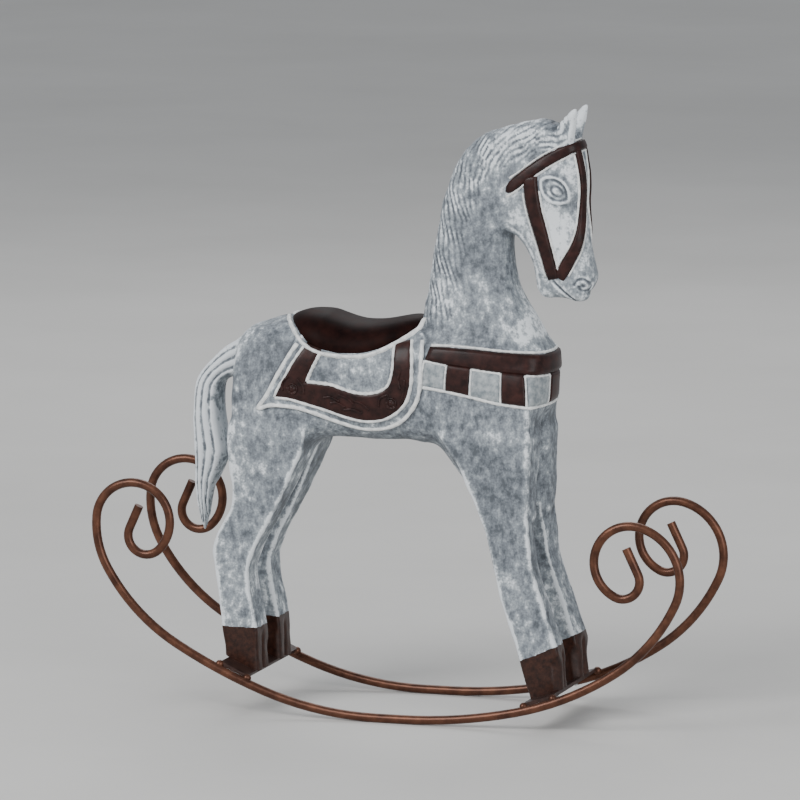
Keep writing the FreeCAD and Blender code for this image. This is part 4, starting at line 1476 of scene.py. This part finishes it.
def noise(tree, vector, scale, detail=4.0, roughness=0.6):
    """Cloudy noise between 0 and 1, with so many clouds to a metre."""
    node = add(tree, "ShaderNodeTexNoise", Scale=scale, Detail=detail, Roughness=roughness)
    tree.links.new(vector, node.inputs["Vector"])
    return node.outputs["Fac"]


def new_group(name, inputs):
    """A node group with the named inputs, that puts out Color, Roughness and Height."""
    group = bpy.data.node_groups.new(name, "ShaderNodeTree")
    sockets = [(label, "INPUT") for label in inputs]
    sockets += [(label, "OUTPUT") for label in ("Color", "Roughness", "Height")]
    for label, way in sockets:
        kind = "NodeSocketColor" if label in ("Color", "Dark", "Light") else "NodeSocketFloat"
        group.interface.new_socket(label, in_out=way, socket_type=kind)
    return group, group.nodes.new("NodeGroupInput"), group.nodes.new("NodeGroupOutput")


def coat_with(tree, shader, colour, roughness, height, strength, distance):
    """Colour and roughness into the shader, and height through a fine bump."""
    tree.links.new(colour, shader.inputs["Base Color"])
    tree.links.new(roughness, shader.inputs["Roughness"])
    bump = add(tree, "ShaderNodeBump", Strength=strength, Distance=distance)
    tree.links.new(height, bump.inputs["Height"])
    tree.links.new(bump.outputs["Normal"], shader.inputs["Normal"])


def give(item, material):
    """Make it the only material of the piece."""
    item.data.materials.clear()
    item.data.materials.append(material)


print("materials before the finishes:", len(bpy.data.materials))

# %% The rubbed-back paint
SLATE = (0.085, 0.097, 0.112)
BLUE_GREY = (0.180, 0.202, 0.228)
PALE_GREY = (0.325, 0.360, 0.388)
CHALK = (0.76, 0.80, 0.83)


def make_rubbed_paint_group():
    """Colour, roughness and height of the coats; Proud is the wood's relief, and the second input is the bias towards
    white, which also carries a painted shadow behind the ears.
    """
    group, start, end = new_group("rubbed_paint", ("Proud", "Chalkiness"))
    place = group.nodes.new("ShaderNodeTexCoord").outputs["Object"]
    drag = group.nodes.new("ShaderNodeMapping")
    drag.inputs["Scale"].default_value = (1.0, 1.0, 0.42)
    drag.inputs["Rotation"].default_value = (0.0, 0.35, 0.0)
    group.links.new(place, drag.inputs["Vector"])
    broad = noise(group, place, 60.0, 2.0)
    mottle = noise(group, place, 260.0, 5.0, 0.66)
    brushed = noise(group, drag.outputs["Vector"], 480.0, 3.0, 0.6)
    fleck = noise(group, place, 1100.0, 2.0, 0.5)
    level = start.outputs["Proud"]
    for pattern, share in ((broad, 1.0), (mottle, 1.35), (brushed, 0.8), (fleck, 0.5)):
        level = calc(group, "ADD", level, calc(group, "MULTIPLY_ADD", pattern, share, -share / 2))
    level = calc(group, "ADD", level, start.outputs["Chalkiness"], clamp=True)
    colour = stops(group, level, [(0.12, SLATE), (0.4, BLUE_GREY), (0.66, PALE_GREY), (0.9, CHALK)])
    group.links.new(colour, end.inputs["Color"])
    group.links.new(calc(group, "MULTIPLY_ADD", mottle, 0.25, 0.5), end.inputs["Roughness"])
    height = calc(group, "ADD", brushed, calc(group, "MULTIPLY", fleck, 0.6))
    group.links.new(height, end.inputs["Height"])
    return group


rubbed_paint = make_rubbed_paint_group()
print("inputs and outputs of the group:", [item.name for item in rubbed_paint.interface.items_tree])

# %% The painted wood
HOOF_DARK, HOOF_BROWN = (0.012, 0.004, 0.0025), (0.055, 0.020, 0.012)


def painted_wood(name, chalkiness, wear=1.9, hoof=False):
    """The rubbed paint, worn where the wood stands proud; with hoof, brown below the hoof's line."""
    material, tree, shader = new_material(name)
    proud = add(tree, "ShaderNodeAttribute", attribute_name="worn").outputs["Fac"]
    paint = tree.nodes.new("ShaderNodeGroup")
    paint.node_tree = rubbed_paint
    relief = calc(tree, "MULTIPLY", proud, wear)
    relief = calc(tree, "MAXIMUM", calc(tree, "MINIMUM", relief, 0.65), -0.45)
    tree.links.new(relief, paint.inputs["Proud"])
    # The per-vertex whitening, with its painted shadow behind the ears, is added to the material's own whiteness.
    chalk_and_shade_attribute = add(tree, "ShaderNodeAttribute", attribute_name="chalk").outputs["Fac"]
    tree.links.new(calc(tree, "ADD", chalk_and_shade_attribute, chalkiness), paint.inputs["Chalkiness"])
    colour, roughness = paint.outputs["Color"], paint.outputs["Roughness"]
    if hoof:
        line = add(tree, "ShaderNodeAttribute", attribute_name="hoof").outputs["Fac"]
        place = tree.nodes.new("ShaderNodeTexCoord").outputs["Object"]
        ragged = calc(tree, "MULTIPLY_ADD", noise(tree, place, 300.0), 1.6, -0.8)
        painted = calc(tree, "LESS_THAN", calc(tree, "ADD", line, ragged), 0.0)
        brown = stops(tree, noise(tree, place, 500.0), [(0.3, HOOF_DARK), (0.75, HOOF_BROWN)])
        mix = add(tree, "ShaderNodeMix", data_type="RGBA")
        tree.links.new(painted, mix.inputs["Factor"])
        tree.links.new(colour, mix.inputs["A"])
        tree.links.new(brown, mix.inputs["B"])
        colour = mix.outputs["Result"]
        roughness = calc(tree, "MULTIPLY_ADD", painted, -0.25, 0.62)
    shader.inputs["Specular IOR Level"].default_value = 0.32
    coat_with(tree, shader, colour, roughness, paint.outputs["Height"], 0.35, 0.0004)
    return material


body_paint = painted_wood("rubbed_grey_body", 0.42)
head_paint = painted_wood("rubbed_grey_head", 0.5)
tail_paint = painted_wood("rubbed_grey_tail", 0.66)
leg_paint = painted_wood("rubbed_grey_leg", 0.42, 2.6, hoof=True)
give(torso, body_paint)
give(neck, head_paint)
give(tail, tail_paint)
for leg in legs:
    give(leg, leg_paint)
for item in [torso, neck, tail] + legs:
    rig.slot(item, "carved_wood")
print("painted pieces:", 3 + len(legs))

# %% [markdown]
# The other finishes are plain: dark lacquer on the tack, a copper-brown lacquer on the wire, a
# darker one on the plates, zinc, beech, and white line paint.  One flat colour would look like
# plastic, so each drifts softly between two tones.  That drift is one node group, and each material
# gives it its own tones, its own scale and its own shine.  The wires, plates, screws, weld beads and
# dowels keep the frame's own meshes and only get a finish.

# %% A tone that drifts


def make_drifting_tone_group():
    """A colour that drifts between two tones, with a roughness and a height that drift with it."""
    group, start, end = new_group("drifting_tone", ("Dark", "Light", "Scale", "Shine"))
    place = group.nodes.new("ShaderNodeTexCoord").outputs["Object"]
    cloud = add(group, "ShaderNodeTexNoise", Detail=5.0, Roughness=0.62)
    group.links.new(place, cloud.inputs["Vector"])
    group.links.new(start.outputs["Scale"], cloud.inputs["Scale"])
    drift = cloud.outputs["Fac"]
    mix = add(group, "ShaderNodeMix", data_type="RGBA")
    group.links.new(calc(group, "MULTIPLY_ADD", drift, 3.0, -1.05, clamp=True), mix.inputs["Factor"])
    group.links.new(start.outputs["Dark"], mix.inputs["A"])
    group.links.new(start.outputs["Light"], mix.inputs["B"])
    group.links.new(mix.outputs["Result"], end.inputs["Color"])
    roughness = calc(group, "MULTIPLY_ADD", drift, 0.2, start.outputs["Shine"])
    group.links.new(roughness, end.inputs["Roughness"])
    group.links.new(drift, end.inputs["Height"])
    return group


drifting_tone = make_drifting_tone_group()


def two_tone(name, dark, light, scale, roughness, metallic=0.0, coat=0.0, ior=1.5):
    """One finish made with the drifting tone; roughness is its middle value."""
    material, tree, shader = new_material(name)
    tone = tree.nodes.new("ShaderNodeGroup")
    tone.node_tree = drifting_tone
    tone.inputs["Dark"].default_value = (*dark, 1.0)
    tone.inputs["Light"].default_value = (*light, 1.0)
    tone.inputs["Scale"].default_value = scale
    tone.inputs["Shine"].default_value = roughness - 0.1
    shader.inputs["Metallic"].default_value = metallic
    shader.inputs["Coat Weight"].default_value = coat
    shader.inputs["Coat Roughness"].default_value = 0.18
    shader.inputs["IOR"].default_value = ior
    coat_with(tree, shader, *(tone.outputs[k] for k in ("Color", "Roughness", "Height")), 0.15, 0.0003)
    return material


print("the group's own nodes:", len(drifting_tone.nodes))

# %% Lacquer, line paint, wire, plates, screws and dowels
SADDLE_BROWN, SADDLE_MAROON = (0.006, 0.0022, 0.002), (0.020, 0.0065, 0.005)
STRAP_BROWN, STRAP_CHESTNUT = (0.012, 0.0045, 0.004), (0.040, 0.0135, 0.011)
WIRE_BROWN, WIRE_COPPER = (0.060, 0.022, 0.012), (0.155, 0.062, 0.034)
PLATE_DARK, PLATE_BROWN = (0.022, 0.010, 0.008), (0.06, 0.028, 0.020)
saddle_lacquer = two_tone("saddle_lacquer", SADDLE_BROWN, SADDLE_MAROON, 120, 0.5, ior=1.13)
strap_lacquer = two_tone("strap_lacquer", STRAP_BROWN, STRAP_CHESTNUT, 240, 0.42, coat=0.08, ior=1.28)
line_paint = two_tone("white_line_paint", (0.60, 0.62, 0.62), (0.95, 0.95, 0.93), 420, 0.6)
tab_paint = two_tone("grey_tab_paint", (0.17, 0.20, 0.22), (0.42, 0.45, 0.46), 400, 0.55)
wire_lacquer = two_tone("copper_brown_wire", WIRE_BROWN, WIRE_COPPER, 150, 0.36, metallic=0.6)
plate_lacquer = two_tone("dark_brown_plate", PLATE_DARK, PLATE_BROWN, 220, 0.42, metallic=0.3)
screw_zinc = two_tone("zinc_plated_screw", (0.42, 0.42, 0.40), (0.6, 0.6, 0.57), 900, 0.35, metallic=1.0)
dowel_beech = two_tone("beech_dowel", (0.50, 0.34, 0.19), (0.68, 0.50, 0.31), 400, 0.6)
give(saddle, saddle_lacquer)
give(white_lines, line_paint)
give(grey_tabs, tab_paint)
tack = cloth_bands + [flowers, sprigs, collar, brown_tabs, brow] + bridle[0] + bridle[1]
for item in tack:
    give(item, strap_lacquer)
for item in tack + [saddle, white_lines]:
    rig.slot(item, "dark_tack")
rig.slot(grey_tabs, "carved_wood")
FINISHES = {
    wire_lacquer: ("right_rocker", "left_rocker", "weld_beads"),
    plate_lacquer: ("rear_foot_plate", "front_foot_plate"),
    screw_zinc: ("hoof_screws",),
    dowel_beech: ("leg_dowels", "neck_dowels", "tail_dowel"),
}
for material, names in FINISHES.items():
    for name in names:
        give(nodes[name], material)
print("materials:", len(bpy.data.materials))

# %% [markdown]
# A plain room: a pale floor, soft light from a large panel in front and to the left, a weaker one
# from the right, and one above and behind that draws the edge of the saddle and the crest.

# %% Floor and light
HALF_FLOOR = 6.0


def aim(item, place, look):
    """Stand an object at place, with its own -Z axis towards look."""
    item.location = place
    heading = Vector(look) - Vector(place)
    item.rotation_euler = heading.to_track_quat("-Z", "Y").to_euler()


def panel(name, place, look, size, power):
    """A square area light; sizes in metres, power in watts."""
    light = bpy.data.lights.new(name, "AREA")
    light.shape = "SQUARE"
    light.size = size
    light.energy = power
    item = bpy.data.objects.new(name, light)
    bpy.context.scene.collection.objects.link(item)
    aim(item, place, look)
    return item


floor_mesh = bpy.data.meshes.new("floor")
corners = [(a * HALF_FLOOR, b * HALF_FLOOR, 0.0) for a, b in ((-1, -1), (1, -1), (1, 1), (-1, 1))]
floor_mesh.from_pydata(corners, [], [(0, 1, 2, 3)])
floor = bpy.data.objects.new("floor", floor_mesh)
bpy.context.scene.collection.objects.link(floor)
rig.stage(floor)
give(floor, two_tone("pale_floor", (0.60, 0.59, 0.57), (0.66, 0.65, 0.63), 3, 0.75))
panel("key_light", (-0.9, -1.5, 1.3), (0, 0, 0.13), 1.0, 32)
panel("fill_light", (1.5, -1.2, 0.7), (0, 0, 0.13), 1.2, 18)
panel("back_light", (-0.3, 1.2, 1.2), (0, 0, 0.15), 0.8, 7)
world = bpy.data.worlds.new("room")
world.use_nodes = True
world.node_tree.nodes["Background"].inputs["Color"].default_value = (0.80, 0.83, 0.87, 1)
world.node_tree.nodes["Background"].inputs["Strength"].default_value = 0.55
bpy.context.scene.world = world
print("lights:", len(bpy.data.lights))

# %% [markdown]
# The camera stands far off with a long lens, so that the near and the far rocker look nearly
# parallel.  It looks from the front right quarter, turned 17.5 degrees from the side and raised
# 8.5 degrees.

# %% Camera
AZIMUTH, HEIGHT_ANGLE, DISTANCE = math.radians(17.5), math.radians(8.5), 3.5
TARGET = np.array([-0.0045, 0.0, 0.1392])
away = np.array([
    math.sin(AZIMUTH) * math.cos(HEIGHT_ANGLE),
    -math.cos(AZIMUTH) * math.cos(HEIGHT_ANGLE),
    math.sin(HEIGHT_ANGLE),
])
camera = bpy.data.objects.new("camera", bpy.data.cameras.new("camera"))
camera.data.lens = 354.0
camera.data.sensor_width = 36.0
camera.data.clip_end = 50.0
bpy.context.scene.collection.objects.link(camera)
aim(camera, tuple(TARGET + DISTANCE * away), tuple(TARGET))
bpy.context.scene.camera = camera
print("camera at", [round(c, 3) for c in camera.location])

# %% [markdown]
# The finished pieces are measured against the frame as it was loaded, so that a piece that grew
# past the measured model would show in the numbers.

# %% The sizes, and the end
with open("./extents.json", "w") as out:
    sizes = {"cad": cad_box, "visual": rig.bounds()}
    json.dump({k: [list(corner) for corner in box] for k, box in sizes.items()}, out)
print(open("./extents.json").read())
